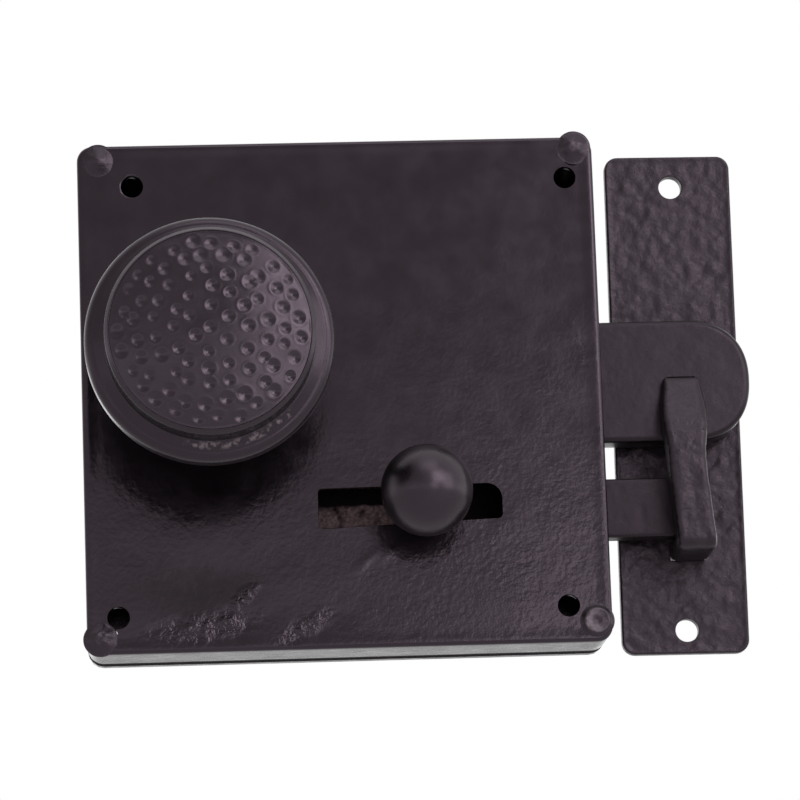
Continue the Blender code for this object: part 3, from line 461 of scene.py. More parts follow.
def headed_post(name, flat, rough, pit, slant, finish):
    """The head is level out to the flat share of its radius and eases down to the cover from there, with
    hammer lumps and a pit in its middle, and slants down to the upper right. Below it the rod widens to the
    collar and ends behind the plate."""
    low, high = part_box(name)
    across = (high.x - low.x) / 2
    middle = (low + high) / 2
    post_x = math.copysign(plate_high.x - POST_INSET, middle.x)
    post_up = math.copysign(plate_high.z - POST_INSET, middle.z)
    face = -cad_front.y
    tall = -low.y - face
    turn = once_round(POST_SIDES)
    share = np.linspace(0.02, 1, 30)[:, None]
    x = middle.x + across * share * np.cos(turn)
    up = middle.z + across * share * np.sin(turn)
    hammered = rough * (lumps(stand(x, up, 0), 1.5 * MM, 5) - 0.6) - pit * np.exp(-(share / 0.22) ** 2)
    height = tall * (1 - eased((share - flat) / (1 - flat))) + hammered * (1 - share ** 3)
    sloped = slant * (share * (0.9 * np.cos(turn) + 0.45 * np.sin(turn)) + 1) / 2
    head = stand(x, up, face + np.minimum(height, tall) - sloped * (1 - share ** 3) - 0.1 * MM * share)
    under_r = np.array([[1.0], [0.9], [0.6]]) * across
    under_out = face - np.array([[0.35], [0.6], [0.6]]) * MM
    under = hoops(middle.x, middle.z, under_r, under_out, POST_SIDES)
    rod_r = np.array([POST_R, POST_R, COLLAR_R, COLLAR_R, POST_R, POST_R])[:, None]
    plate = -cad_plate_front
    collar = plate + COLLAR
    rod_out = np.array([face - HEAD_UNDER, collar, collar - 0.2 * MM, plate, plate, -high.y])[:, None]
    rod = hoops(post_x, post_up, rod_r, rod_out, POST_SIDES)
    piece = skin(name.replace("corner_post", "headed_post"), np.concatenate([head, under, rod]))
    fit(piece, "case", "case_paint", finish, name, sharp=60)


def place_on(tree):
    """X, Y and Z of each point, on the piece's own coordinates."""
    place = node(tree, "SeparateXYZ")
    link(node(tree, "TexCoord").outputs["Object"], place.inputs["Vector"])
    return place


def dulled_below(finish, height, fade, gloss=0.5):
    """The same paint, rougher and with little gloss under a height off the door, where brushes hardly get."""
    tree = finish.node_tree
    shader = tree.nodes["Principled BSDF"]
    below = ramp(place_on(tree).outputs["Y"], 0, 1, -height, -height + fade)
    rough = shader.inputs["Roughness"].links[0].from_socket
    link(plus(rough, times(below, DULL_ROUGHER)), shader.inputs["Roughness"])
    link(ramp(below, gloss, DULL_GLOSS, 0, 1), shader.inputs["Specular IOR Level"])


def grey_spots_above(finish, height, fade):
    """Grey in spots of noise above a height off the door."""
    tree = finish.node_tree
    shader = tree.nodes["Principled BSDF"]
    above = ramp(place_on(tree).outputs["Y"], 1, 0, -height - fade, -height)
    spots = ramp(speckle(tree, 1.1 * MM, detail=2), 0.25, 1, 0.38, 0.5)
    paint = shader.inputs["Base Color"].links[0].from_socket
    link(tint(times(above, spots), paint, GREY_SPOT_TONE), shader.inputs["Base Color"])


cad_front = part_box("front_cover")[0]
plate_low, plate_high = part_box("back_plate")
cad_plate_front = plate_low.y
POST_PAINT = painted_iron("post_paint", 0.34, 0.6 * MM, 0.05 * MM, 1.6 * MM, 0.14 * MM)
GREY_SPOTTED_POST_PAINT = painted_iron("grey_spotted_post_paint", 0.34, 0.6 * MM, 0.05 * MM, 1.6 * MM, 0.10 * MM)
dulled_below(POST_PAINT, -cad_front.y - 0.5 * MM, 0.5 * MM)
dulled_below(GREY_SPOTTED_POST_PAINT, -cad_front.y - 0.5 * MM, 0.5 * MM)
grey_spots_above(GREY_SPOTTED_POST_PAINT, -cad_front.y + 0.75 * MM, 0.3 * MM)
for corner, flat, rough, pit, slant, finish in (
    ("top_left", 0.0, 0.06 * MM, 0, 0, POST_PAINT),
    ("top_right", 0.25, 0.22 * MM, 0, 0, POST_PAINT),
    ("bottom_left", 0.3, 0.28 * MM, 0, 0, POST_PAINT),
    ("bottom_right", 0.66, 0.05 * MM, 0.22 * MM, 0.4 * MM, GREY_SPOTTED_POST_PAINT),
):
    headed_post("corner_post_" + corner, flat, rough, pit, slant, finish)

# Inside the case: the pivot pin and its spacer, the stop pin, the bolt's guides, the spring's bracket and all
# the rivets are plain iron and steel, turned or cut from the bar and left bare under a film of oil.


def bare_metal(name, dark, light, rough, grain, grain_depth, stretch=(1, 1, 1)):
    """Metal with tool marks: spots stretched along the way it was worked, in colour, gloss and relief."""
    made, tree, shader = new_finish(name, metallic=1.0)
    marks = speckle(tree, grain, stretch=stretch)
    satin = ramp(speckle(tree, 4 * MM), rough - 0.08, rough + 0.12)
    laid_on(shader, mottled(marks, dark, light), satin, (marks, grain_depth))
    return made


IRON_TONES = (0.12, 0.10, 0.09), (0.26, 0.23, 0.21)
STEEL_TONES = (0.42, 0.42, 0.43), (0.60, 0.60, 0.61)
SPRING_TONES = (0.20, 0.20, 0.22), (0.36, 0.36, 0.39)
BRASS_TONES = (0.48, 0.34, 0.13), (0.64, 0.48, 0.22)
BARE_IRON = bare_metal("bare_iron", *IRON_TONES, 0.5, 1.2 * MM, 0.04 * MM)
BRIGHT_STEEL = bare_metal("bright_steel", *STEEL_TONES, 0.32, 0.6 * MM, 0.012 * MM, (1, 0.1, 1))
SPRING_STEEL = bare_metal("spring_steel", *SPRING_TONES, 0.34, 0.8 * MM, 0.01 * MM)
BRASS = bare_metal("turned_brass", *BRASS_TONES, 0.34, 0.7 * MM, 0.015 * MM, (1, 0.15, 1))
coat("bare_iron", BARE_IRON, "pivot_spacer", "spring_bracket", "bracket_rivet_1", "bracket_rivet_2")
coat("bare_iron", BARE_IRON, "bolt_guide_1", "bolt_guide_2", "guide_rivet_1", "guide_rivet_2")
coat("bare_iron", BARE_IRON, "guide_rivet_3", "guide_rivet_4", "leaf_rivet", "lift_hub")
coat("bright_steel", BRIGHT_STEEL, "latch_pivot", "latch_stop", "spindle", "knob_set_screw")
coat("spring_steel", SPRING_STEEL, "bolt_spring")
coat("brass", BRASS, "rear_bush")

# Return spring: seven turns of round spring wire between the bar and its bracket, which push the bar down.
SPRING_WIRE_R = 0.55 * MM
SPRING_TURNS = 7


def coil(low, high):
    """A helix up the middle of a box. Each section is a circle across the wire. The end turns lie flatter."""
    middle = (low + high) / 2
    coil_r = (high.x - low.x) / 2 - SPRING_WIRE_R
    way = np.linspace(0, 1, SPRING_TURNS * 40 + 1)[:, None]
    flat_ends = way - 0.35 * np.sin(2 * np.pi * way) / (2 * np.pi)
    turn = 2 * np.pi * SPRING_TURNS * way
    up = low.z + SPRING_WIRE_R + (high.z - low.z - 2 * SPRING_WIRE_R) * flat_ends
    around = once_round(12)
    radius = coil_r + SPRING_WIRE_R * np.cos(around)
    out = -middle.y + radius * np.sin(turn)
    return stand(middle.x + radius * np.cos(turn), up + SPRING_WIRE_R * np.sin(around), out)


coil_foot, coil_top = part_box("return_spring")
return_spring = skin("coiled_return_spring", coil(coil_foot, coil_top))
fit(return_spring, None, "spring_steel", SPRING_STEEL, "return_spring")
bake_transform(return_spring)

# Slide bolt: a flat iron bar that was painted where it shows beside the case and has rusted inside it.
# The ball's stem screws into it through the slot in the cover. Its rust gives way to dark paint above the
# stem and right of the ball, as painted shade under the slot's upper edge and painted shadow of the ball.
BOLT_EDGE = 0.7 * MM
BOLT_STEP = 0.6 * MM
STEM_HOLE_R = 2.7 * MM
RUST_DARK = (0.06, 0.039, 0.040)
RUST_LIGHT = (0.22, 0.150, 0.155)
BOLT_THIN = (0.003, 0.0021, 0.0023)
BOLT_THICK = (0.006, 0.0042, 0.0045)
# Painted shadow of the ball: the rust share falls to a fifth between these two places to the right. Painted
# shade under the slot's upper edge: it falls to none between these two heights above the stem.
BALL_SHADOW_FROM = (8 * MM, 22 * MM)
SLOT_SHADE_FROM = (1.2 * MM, 2.4 * MM)
SHOWN_FROM = (50 * MM, 56 * MM)


def lines(half, edge, step):
    """Places across a piece: even in the middle and close together where its edges are rounded."""
    flat = np.linspace(-(half - edge), half - edge, max(2, round(2 * (half - edge) / step)) + 1)
    rounded = half - edge * (1 - np.sin(np.linspace(0, np.pi / 2, 6)))
    return np.concatenate([-rounded[:0:-1], flat, rounded[1:]])


def cornered(x, up, half_x, half_up, corner):
    """Points of a box with its corners rounded. Past the start of a corner a point is drawn in by its larger
    distance over its straight one, which turns the square into a quarter disc."""
    past_x = np.maximum(abs(x) - (half_x - corner), 0)
    past_up = np.maximum(abs(up) - (half_up - corner), 0)
    drawn = np.maximum(past_x, past_up) / np.maximum(np.hypot(past_x, past_up), 1e-9)
    x = np.sign(x) * (abs(x) - past_x * (1 - drawn))
    return x, np.sign(up) * (abs(up) - past_up * (1 - drawn))


def round_cornered(half_x, half_up, corner, edge, step):
    """A grid over a box with round corners, and each point's distance in from the edge."""
    x, up = np.meshgrid(lines(half_x, edge, step), lines(half_up, edge, step), indexing="ij")
    inset = np.minimum(half_x - abs(x), half_up - abs(up))
    return *cornered(x, up, half_x, half_up, corner), inset


def edge_drop(inset, edge):
    """How far a rounded edge falls below the flat at each distance in: a quarter of a circle."""
    left = edge - np.clip(inset, 0, edge)
    return edge - np.sqrt(np.maximum(edge ** 2 - left ** 2, 0))


def border(rows, columns):
    """Numbers of a grid's outer points, once round."""
    number = np.arange(rows * columns).reshape(rows, columns)
    sides = [number[:-1, 0], number[-1, :-1], number[:0:-1, -1], number[0, :0:-1]]
    return np.concatenate(sides)


def walled(name, front, back):
    """A closed body from two grids of the same shape, with a wall between their borders."""
    rows, columns = front.shape[:2]
    count = rows * columns
    rim = border(rows, columns)
    after = np.roll(rim, -1)
    wall = np.stack([rim, rim + count, after + count, after], axis=-1)
    faces = np.concatenate([weave(rows, columns), weave(rows, columns)[:, ::-1] + count, wall])
    return new_solid(name, np.concatenate([front.reshape(-1, 3), back.reshape(-1, 3)]), faces.tolist())


def middle_of(name):
    """Middle of a node's box, to the right and up."""
    low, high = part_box(name)
    return (low.x + high.x) / 2, (low.z + high.z) / 2


def bolt_iron():
    """Dark paint, broken by rust inside the case, with spots breaking the rust up. The rust falls off to the
    right of the ball and above its stem, where the dark paint is painted shadow of the ball and painted shade
    under the slot's upper edge. The paint has its gloss where the bolt shows beside the case."""
    made, tree, shader = new_finish("bolt_iron", sheen=PAINT_SHEEN)
    place = place_on(tree)
    stem_up = middle_of("slide_knob")[1]
    # Painted shadow of the ball to the right and painted shade above the stem, where the rust gives way to
    # dark paint.
    behind = ramp(place.outputs["X"], 1, 0.2, *BALL_SHADOW_FROM)
    low = ramp(place.outputs["Z"], 1, 0, stem_up + SLOT_SHADE_FROM[0], stem_up + SLOT_SHADE_FROM[1])
    shown = ramp(place.outputs["X"], 0, 1, *SHOWN_FROM)
    spots = speckle(tree, 2.6 * MM, detail=5)
    rust_where_unshaded = ramp(times(spots, times(behind, low)), 0, 1, 0.30, 0.55)
    scale = mottled(speckle(tree, 0.8 * MM), RUST_DARK, RUST_LIGHT)
    paint = mottled(speckle(tree, 9 * MM), BOLT_THIN, BOLT_THICK)
    rough = ramp(shown, 0.85, 0.42, 0, 1)
    broad = (speckle(tree, 4 * MM), 0.06 * MM)
    laid_on(shader, tint(rust_where_unshaded, paint, scale), rough, broad, (spots, 0.10 * MM))
    link(ramp(shown, 0.08, 0.32, 0, 1), shader.inputs["Specular IOR Level"])
    return made


def flat_bolt():
    """Rounded box with shallow rust pits, drilled for the stem."""
    low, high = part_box("slide_bolt")
    half = (high - low) / 2
    middle = (high + low) / 2
    x, up, inset = round_cornered(half.x, half.z, BOLT_EDGE, BOLT_EDGE, BOLT_STEP)
    fall = edge_drop(inset, BOLT_EDGE)
    place = stand(middle.x + x, middle.z + up, 0)
    pits = np.clip(lumps(place, 2.2 * MM, 21) - 0.25, 0, 1) * 0.18 * MM
    front = stand(place[..., 0], place[..., 2], -low.y - fall - pits)
    back = stand(place[..., 0], place[..., 2], -high.y + fall)
    piece = walled("flat_bolt", front, back)
    hole = drilled(*middle_of("slide_knob"), STEM_HOLE_R, -high.y + 1 * MM, -low.y + 1 * MM)
    grow(piece, "DIFFERENCE", hole)
    fit(piece, "bolt", "rusty_iron", bolt_iron(), "slide_bolt")


flat_bolt()

# Slide knob: a ball on a thin stem, turned from one iron rod and painted.
# Handling has kept it smooth and a little glossier than the case.
STEM_R = 3 * MM
STEM_TENON_R = 2.4 * MM
STEM_THREAD = 5.2 * MM
TURNED_PAINT = painted_iron("turned_paint", 0.30, 1.2 * MM, 0.012 * MM, 6 * MM, 0.03 * MM)


def turned(name, profile, x, up, sides=128):
    """A profile of (radius, height off the door), turned about an axis that stands out of the door."""
    return skin(name, hoops(x, up, profile[:, :1], profile[:, 1:], sides))


def softened(profile, softness, spacing=0.15 * MM):
    """A profile with its corners rounded: points set close together along it, each moved to the mean of those
    within the softness on either side."""
    steps = np.hypot(*np.diff(profile, axis=0).T)
    run = np.concatenate([[0], np.cumsum(steps)])
    way = np.linspace(0, run[-1], max(8, round(run[-1] / spacing)) + 1)
    dense = np.stack([np.interp(way, run, profile[:, i]) for i in (0, 1)], axis=-1)
    reach = max(1, round(softness / spacing))
    padded = np.concatenate([dense[:1].repeat(reach, 0), dense, dense[-1:].repeat(reach, 0)])
    window = np.ones(2 * reach + 1) / (2 * reach + 1)
    smooth = np.stack([np.convolve(padded[:, i], window, "valid") for i in (0, 1)], axis=-1)
    smooth[0] = dense[0]
    smooth[-1] = dense[-1]
    return smooth


def ball_on_stem():
    """A circle's arc from the top of the ball to the stem, then the stem and its thinner threaded end."""
    low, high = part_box("slide_knob")
    radius = (high.x - low.x) / 2
    middle = -low.y - radius
    arc = np.linspace(0.02, np.pi - math.asin(STEM_R / radius), 90)
    ball = np.stack([radius * np.sin(arc), middle + radius * np.cos(arc)], axis=-1)
    shoulder = -high.y + STEM_THREAD
    end = -high.y
    stem = [(STEM_R, shoulder), (STEM_TENON_R, shoulder), (STEM_TENON_R, end), (0.1 * MM, end)]
    profile = np.concatenate([ball, softened(np.array([ball[-1]] + stem), 0.2 * MM)[1:]])
    piece = turned("ball_on_stem", profile, *middle_of("slide_knob"))
    fit(piece, "bolt", "knob_paint", TURNED_PAINT, "slide_knob", sharp=50)


ball_on_stem()

# Latch bar: a cranked lever cut from thick iron plate, with its edges dressed round and its end rounded.
# It turns on the pivot pin, its arch clears the hub, and the hub's finger lifts it.
BAR_MIDDLE = 2.4 * MM
BAR_HEIGHT = 27.5 * MM
BAR_EDGE = 1.3 * MM
BAR_END_POWER = 2.3
EYE_R = 6.5 * MM
ARCH_R = 10 * MM
ARCH_WALL = 8 * MM
FINGER_CLEAR = 15.5 * MM
FINGER_PAD = 0.89 * MM
BAR_SHOULDER_R = 6 * MM
SLOPE_FROM_SPRING = 8 * MM
SPRING_PEG_R = 2 * MM
SPRING_PEG = 4 * MM
PIVOT_HOLE_R = 3.3 * MM
BAR_PAINT = painted_iron("bar_paint", 0.32, 0.9 * MM, 0.03 * MM, 6 * MM, 0.16 * MM, 0.33)


def bend(x, up, radius, start, end, steps):
    """Points on a circle from one angle to another, in degrees."""
    angle = np.radians(np.linspace(start, end, steps + 1))
    return np.stack([x + radius * np.cos(angle), up + radius * np.sin(angle)], axis=-1)


def drawn_in(outline, distance):
    """A clockwise outline moved in: each point goes along the mean of its two sides' normals, and further at
    a corner."""
    side = np.roll(outline, -1, axis=0) - outline
    side /= np.linalg.norm(side, axis=-1, keepdims=True)
    inward = np.stack([side[:, 1], -side[:, 0]], axis=-1)
    mean = inward + np.roll(inward, 1, axis=0)
    mean /= np.linalg.norm(mean, axis=-1, keepdims=True)
    corner = np.clip((mean * inward).sum(axis=-1, keepdims=True), 0.5, 1)
    return outline + distance * mean / corner


def rounded_slab(outline, low, high, edge):
    """Rings of a flat outline from low to high, drawn in along a quarter circle at both edges, with one more
    ring just inside each flat face."""
    quarter = np.linspace(0, np.pi / 2, 7)
    insets = np.concatenate([[edge + 0.3 * MM], edge * (1 - np.sin(quarter))])
    drops = np.concatenate([[0], edge * (1 - np.cos(quarter))])
    upper = [stand(*drawn_in(outline, inset).T, high - drop) for inset, drop in zip(insets, drops)]
    lower = [stand(*drawn_in(outline, inset).T, low + drop) for inset, drop in zip(insets[::-1], drops[::-1])]
    return np.stack(upper + lower)


def bar_outline(end_x, pivot, knob, spring_x):
    """Clockwise from the eye: over the arch, down the slope, along the top, round the end and back under."""
    half = BAR_HEIGHT / 2
    pad_angle = math.degrees(math.asin(FINGER_PAD / ARCH_R))
    shoulder_x = knob.x + FINGER_CLEAR
    angle = np.radians(90 - 180 * np.linspace(0, 1, 65))
    end = np.stack([
        end_x - half + half * abs(np.cos(angle)) ** (2 / BAR_END_POWER),
        BAR_MIDDLE + half * np.sign(np.sin(angle)) * abs(np.sin(angle)) ** (2 / BAR_END_POWER),
    ], axis=-1)
    return np.concatenate([
        bend(pivot.x, pivot.z, EYE_R, 270, 90, 24),
        bend(knob.x, knob.z, ARCH_R + ARCH_WALL, 135, 75, 12),
        [(spring_x - SLOPE_FROM_SPRING, BAR_MIDDLE + half)],
        end,
        bend(shoulder_x + BAR_SHOULDER_R, BAR_MIDDLE - half + BAR_SHOULDER_R, BAR_SHOULDER_R, 270, 180, 8),
        [(shoulder_x, knob.z + FINGER_PAD)],
        bend(knob.x, knob.z, ARCH_R, pad_angle, 185, 30),
    ])


def joint(name):
    """A joint's place, axis and limits, as the frame has them."""
    return next(row for row in frame["joints"] if row["name"] == name)


def upright_rod(x, out, radius, low, high):
    """Two rings of a round rod that stands upright."""
    turn = once_round(32)
    return stand(x + radius * np.cos(turn), np.array([[low], [high]]), out + radius * np.sin(turn))


def cranked_bar():
    """The outline as a slab with rounded edges, drilled for the pivot, with a peg for the spring on top."""
    low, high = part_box("latch_bar")
    pivot = Vector(joint("latch_lift")["pos_m"])
    knob = Vector(joint("knob_turn")["pos_m"])
    spring_x = middle_of("return_spring")[0]
    outline = bar_outline(high.x, pivot, knob, spring_x)
    piece = skin("cranked_latch_bar", rounded_slab(outline, -high.y, -low.y, BAR_EDGE))
    grow(piece, "DIFFERENCE", drilled(pivot.x, pivot.z, PIVOT_HOLE_R, -high.y - 1 * MM, -low.y + 1 * MM))
    top = BAR_MIDDLE + BAR_HEIGHT / 2
    peg_out = -(low.y + high.y) / 2
    grow(piece, "UNION", upright_rod(spring_x, peg_out, SPRING_PEG_R, top - 1 * MM, top + SPRING_PEG))
    fit(piece, "latch", "bar_paint", BAR_PAINT, "latch_bar", sharp=50)


cranked_bar()

# Front cover: a box folded from sheet iron, open at the back, its corners brazed and dressed round.
# It was drilled and slotted by hand and painted thickly, so its front is not quite flat. It has been knocked
# at the lower left, where the sheet is wrinkled and the paint crumpled. A patch there is paler, rougher and
# less glossy.
SHEET = 2 * MM
CASE_CORNER = 3.5 * MM
CASE_EDGE = 0.9 * MM
COVER_STEP = 0.7 * MM
WRINKLES = (
    (-31, -42, 8, 12, 6, -0.28), (-22, -50, 12, 20, 4.5, -0.20), (-6, -52, 25, 8, 3.5, -0.16),
    (-33, -51.5, 20, 4, 1.4, 0.10), (-28, -50.2, -20, 3.0, 1.1, 0.12), (-37, -53.0, 25, 3.5, 1.1, 0.10),
    (-12, -53, 38, 2.0, 0.9, 0.10), (-9, -51.6, 30, 2.2, 0.9, 0.12), (-15, -54.0, 15, 1.8, 0.9, 0.10),
    (4.5, -37.5, 40, 4, 0.8, 0.10), (9, -36, 42, 3, 0.7, 0.09),
)
CRUMPLES = ((-32, -51.6, 6, 12, 3.4), (-10.5, -52.4, 26, 6.5, 2.6), (-23, -45, 30, 3.5, 2.0))
WALLS_FROM = (-21.8 * MM, -20.5 * MM)
DULL_FROM = (-7.5 * MM, -6.0 * MM)
# A patch at the lower left that is paler, greener, rougher and less glossy: place, slant and half axes, in
# mm.
PALE_PATCH = (-34, -42.5, 0, 15, 7)
PALE_PATCH_COLOUR = (0.0044, 0.0046, 0.0038)
BROAD_DEPTH = 0.07 * MM
PEEL_DEPTH = 0.045 * MM
FOLD_DEPTH = 1.2 * MM
SCREW_HOLE_R = 2.4 * MM
SCREW_HOLES = ((-45.4, 47.5), (51.1, 47.6), (-50.5, -49.0), (48.0, -48.9))
HOLE_FLARE = 0.35 * MM
BUSH_HOLE_R = 8.9 * MM
SLOT_HEIGHT = 8.3 * MM
SLOT_TOP_TILT = math.radians(0.6)
SLOT_BOTTOM_TILT = math.radians(2.2)
SLOT_SMALL_CORNER = 0.9 * MM
SLOT_LARGE_CORNER = 3.4 * MM
RUN = 0.4 * MM
SEAT = 0.3 * MM


def slot_outline():
    """Clockwise round the slot: a box with three small corners and a large one. Its long sides each tilt."""
    middle_x, middle_up = middle_of("slide_knob")
    travel = joint("bolt_slide")["range_m"]
    left = middle_x + travel[0] - STEM_R - SEAT
    right = middle_x + travel[1] + STEM_R + SEAT
    half = SLOT_HEIGHT / 2
    small = SLOT_SMALL_CORNER
    large = SLOT_LARGE_CORNER
    outline = np.concatenate([
        bend(left + small, small - half, small, 270, 180, 8),
        bend(left + small, half - small, small, 180, 90, 8),
        bend(right - large, half - large, large, 90, 0, 16),
        bend(right - small, small - half, small, 0, -90, 8),
    ])
    tilt = np.where(outline[:, 1] > 0, math.tan(SLOT_TOP_TILT), math.tan(SLOT_BOTTOM_TILT))
    outline[:, 1] += middle_up + (outline[:, 0] - (left + right) / 2) * tilt
    return outline


def flared_slot(outline, low, high):
    """Rings of a cutter with the outline, whose mouth spreads as a drill's does."""
    spread, levels = flared(low, high, HOLE_FLARE)
    rings = [stand(*drawn_in(outline, -away).T, level) for away, level in zip(spread, levels)]
    return np.stack(rings)


def box_rings(low, high):
    """Two rings of a box between corners given as right, up and out."""
    x = np.array([low[0], high[0], high[0], low[0]])
    up = np.array([low[1], low[1], high[1], high[1]])
    return stand(x, up, np.array([[low[2]], [high[2]]]))


def patch(place, x, up, slant, half_x, half_up):
    """From 1 in the middle of a slanting oval to 0 outside it: the square of a ramp on the sum of the squares
    of the two distances over the oval's half axes. Sizes are in mm and the slant in degrees."""
    away_x = minus(place.outputs["X"], x * MM)
    rise = times(away_x, math.tan(math.radians(slant)))
    away_up = minus(minus(place.outputs["Z"], up * MM), rise)
    along = arithmetic("POWER", arithmetic("DIVIDE", away_x, half_x * MM), 2)
    across = arithmetic("POWER", arithmetic("DIVIDE", away_up, half_up * MM), 2)
    return arithmetic("POWER", ramp(plus(along, across), 1, 0, 0, 2), 2)


def peeled_paint():
    """The case's paint. Its orange peel grows down the front, its walls have less gloss than its front, and
    it is dull along the walls' back edge, where the brush doesn't reach. A patch at the lower left is paler,
    greener, rougher and less glossy. Folds of noise stand up in the crumpled patches."""
    made, tree, shader = new_finish("cover_paint", sheen=PAINT_SHEEN)
    place = place_on(tree)
    paint = mottled(speckle(tree, 16 * MM), PAINT_THIN, PAINT_THICK)
    pale_patch = times(patch(place, *PALE_PATCH), ramp(speckle(tree, 3 * MM), 0.4, 1))
    walls = ramp(place.outputs["Y"], 0, 1, *WALLS_FROM)
    dull = ramp(place.outputs["Y"], 0, 1, *DULL_FROM)
    satin = plus(ramp(speckle(tree, 6 * MM), 0.13, 0.22), times(walls, 0.08))
    rough = plus(satin, times(dull, 0.8), times(pale_patch, 0.16))
    loss = plus(times(dull, 0.3), times(pale_patch, 0.26))
    link(minus(ramp(walls, 0.5, 0.42, 0, 1), loss), shader.inputs["Specular IOR Level"])
    slope = minus(times(place.outputs["X"], 0.35), place.outputs["Z"])
    uneven = plus(slope, ramp(speckle(tree, 18 * MM), -0.03, 0.03))
    share = ramp(uneven, 0.12, 1, -0.03, 0.04)
    peel = times(speckle(tree, 1.1 * MM, detail=2), share)
    broad = times(speckle(tree, 4 * MM, detail=2), share)
    reach = plus(*[patch(place, *crumple) for crumple in CRUMPLES])
    folds = times(minus(speckle(tree, 3.4 * MM), 0.5), reach)
    colour = tint(pale_patch, paint, PALE_PATCH_COLOUR)
    laid_on(shader, colour, rough, (broad, BROAD_DEPTH), (peel, PEEL_DEPTH), (folds, FOLD_DEPTH))
    return made


def wrinkled(x, up):
    """Height of the wrinkles: for each, a bell curve of the distance along and across its own slanting line.
    A row has its place to the right and up, slant in degrees, half length, half width and height, in mm."""
    height = np.zeros_like(x)
    for mark_x, mark_up, slant, length, width, tall in WRINKLES:
        away_x = x - mark_x * MM
        away_up = up - mark_up * MM
        turn = math.radians(slant)
        along = (away_x * math.cos(turn) + away_up * math.sin(turn)) / (length * MM)
        across = (away_up * math.cos(turn) - away_x * math.sin(turn)) / (width * MM)
        height += tall * MM * np.exp(-along ** 2 - across ** 2)
    return height


def folded_cover():
    """The front is a grid with rounded edges and shallow dents. The wall carries its border back to the open
    side, and the sheet's thickness goes inwards."""
    low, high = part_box("front_cover")
    half_x = (high.x - low.x) / 2
    half_up = (high.z - low.z) / 2
    front = -low.y
    x, up, inset = round_cornered(half_x, half_up, CASE_CORNER, CASE_EDGE, COVER_STEP)
    place = stand(x, up, 0)
    dents = 0.05 * MM * (lumps(place, 17 * MM, 31) - 1) + 0.02 * MM * (lumps(place, 6 * MM, 32) - 3)
    marks = (dents + wrinkled(x, up)) * np.clip(inset / (3 * MM), 0, 1)
    face = stand(x, up, front - edge_drop(inset, CASE_EDGE) + np.minimum(marks, 0))
    rows, columns = x.shape
    rim = border(rows, columns)
    levels = np.linspace(front - CASE_EDGE, -high.y, 12)[1:]
    edge = face.reshape(-1, 3)[rim]
    wall = stand(edge[:, 0], edge[:, 2], levels[:, None])
    count = rows * columns
    around = len(rim)
    first = np.concatenate([rim[None], count + np.arange(11 * around).reshape(11, around)])
    following = np.roll(first, -1, axis=1)
    sides = np.stack([first[:-1], following[:-1], following[1:], first[1:]], axis=-1).reshape(-1, 4)
    points = np.concatenate([face.reshape(-1, 3), wall.reshape(-1, 3)])
    cover = new_solid("folded_cover", points, np.concatenate([weave(rows, columns), sides]).tolist())
    sheet = cover.modifiers.new("sheet", "SOLIDIFY")
    sheet.thickness = SHEET
    sheet.offset = -1
    sheet.use_even_offset = True
    settle(cover)
    return cover


def open_cover(cover):
    """Drill for screws, posts and bush, cut the slot, and open the right wall for the bar and the bolt."""
    low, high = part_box("front_cover")
    front = -low.y
    inside = front - 2 * SHEET
    knob = joint("knob_turn")["pos_m"]
    pivot = joint("latch_lift")["pos_m"]
    holes = [drilled(x * MM, up * MM, SCREW_HOLE_R, inside, front, HOLE_FLARE) for x, up in SCREW_HOLES]
    grow(cover, "DIFFERENCE", *holes)
    tools = []
    for side, end in itertools.product((-1, 1), repeat=2):
        post = (side * (plate_high.x - POST_INSET), end * (plate_high.z - POST_INSET))
        tools.append(drilled(*post, POST_R + SEAT, inside, front))
    tools.append(drilled(knob[0], knob[2], BUSH_HOLE_R, inside, front))
    tools.append(flared_slot(slot_outline(), inside, front))
    bar_low, bar_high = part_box("latch_bar")
    lift = math.radians(joint("latch_lift")["range_deg"][1])
    over_pivot = BAR_MIDDLE + BAR_HEIGHT / 2 - pivot[2]
    top = pivot[2] + (high.x - pivot[0]) * math.tan(lift) + over_pivot / math.cos(lift)
    bottom = BAR_MIDDLE - BAR_HEIGHT / 2 - SEAT
    within = high.x - 2 * SHEET
    beyond = high.x + SHEET
    tools.append(box_rings((within, bottom, -bar_high.y - RUN), (beyond, top + RUN, -bar_low.y + RUN)))
    bolt_low, bolt_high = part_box("slide_bolt")
    bolt_back = (within, bolt_low.z - RUN, -bolt_high.y - RUN)
    tools.append(box_rings(bolt_back, (beyond, bolt_high.z + RUN, -bolt_low.y + RUN)))
    grow(cover, "DIFFERENCE", *tools)
    fit(cover, "case", "case_paint", peeled_paint(), "front_cover", sharp=45)


open_cover(folded_cover())

# Front bush: a turned iron flange on the cover, with a sleeve that the hub's journal turns in.
# It shows as the rose under the knob.
BUSH_BORE = 6.8 * MM
BUSH_WALL = 1.8 * MM
BUSH_FLANGE_EDGE = 1.2 * MM


def closed_ring(name, points):
    """A ring-shaped solid: quads join a grid of points both ways round."""
    rows, columns = points.shape[:2]
    return new_solid(name, points, weave(rows, columns, True, True).tolist())


def flanged_bush():
    """A flange with a rounded edge and its sleeve behind it, turned round the bore."""
    low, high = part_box("front_bush")
    flange_r = (high.x - low.x) / 2
    face = -low.y
    seat = -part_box("front_cover")[0].y + SEAT / 4
    sleeve = BUSH_BORE + BUSH_WALL
    round_over = bend(flange_r - BUSH_FLANGE_EDGE, face - BUSH_FLANGE_EDGE, BUSH_FLANGE_EDGE, 90, 0, 8)
    profile = np.concatenate([
        [(BUSH_BORE, face), (BUSH_BORE + 0.2 * MM, face)],
        round_over,
        [(flange_r, seat), (sleeve, seat), (sleeve, -high.y), (BUSH_BORE, -high.y)],
    ])
    points = hoops(*middle_of("front_bush"), profile[:, :1], profile[:, 1:], 128)
    piece = closed_ring("flanged_bush", points)
    fit(piece, "case", "case_paint", CASE_PAINT, "front_bush", sharp=50)


flanged_bush()

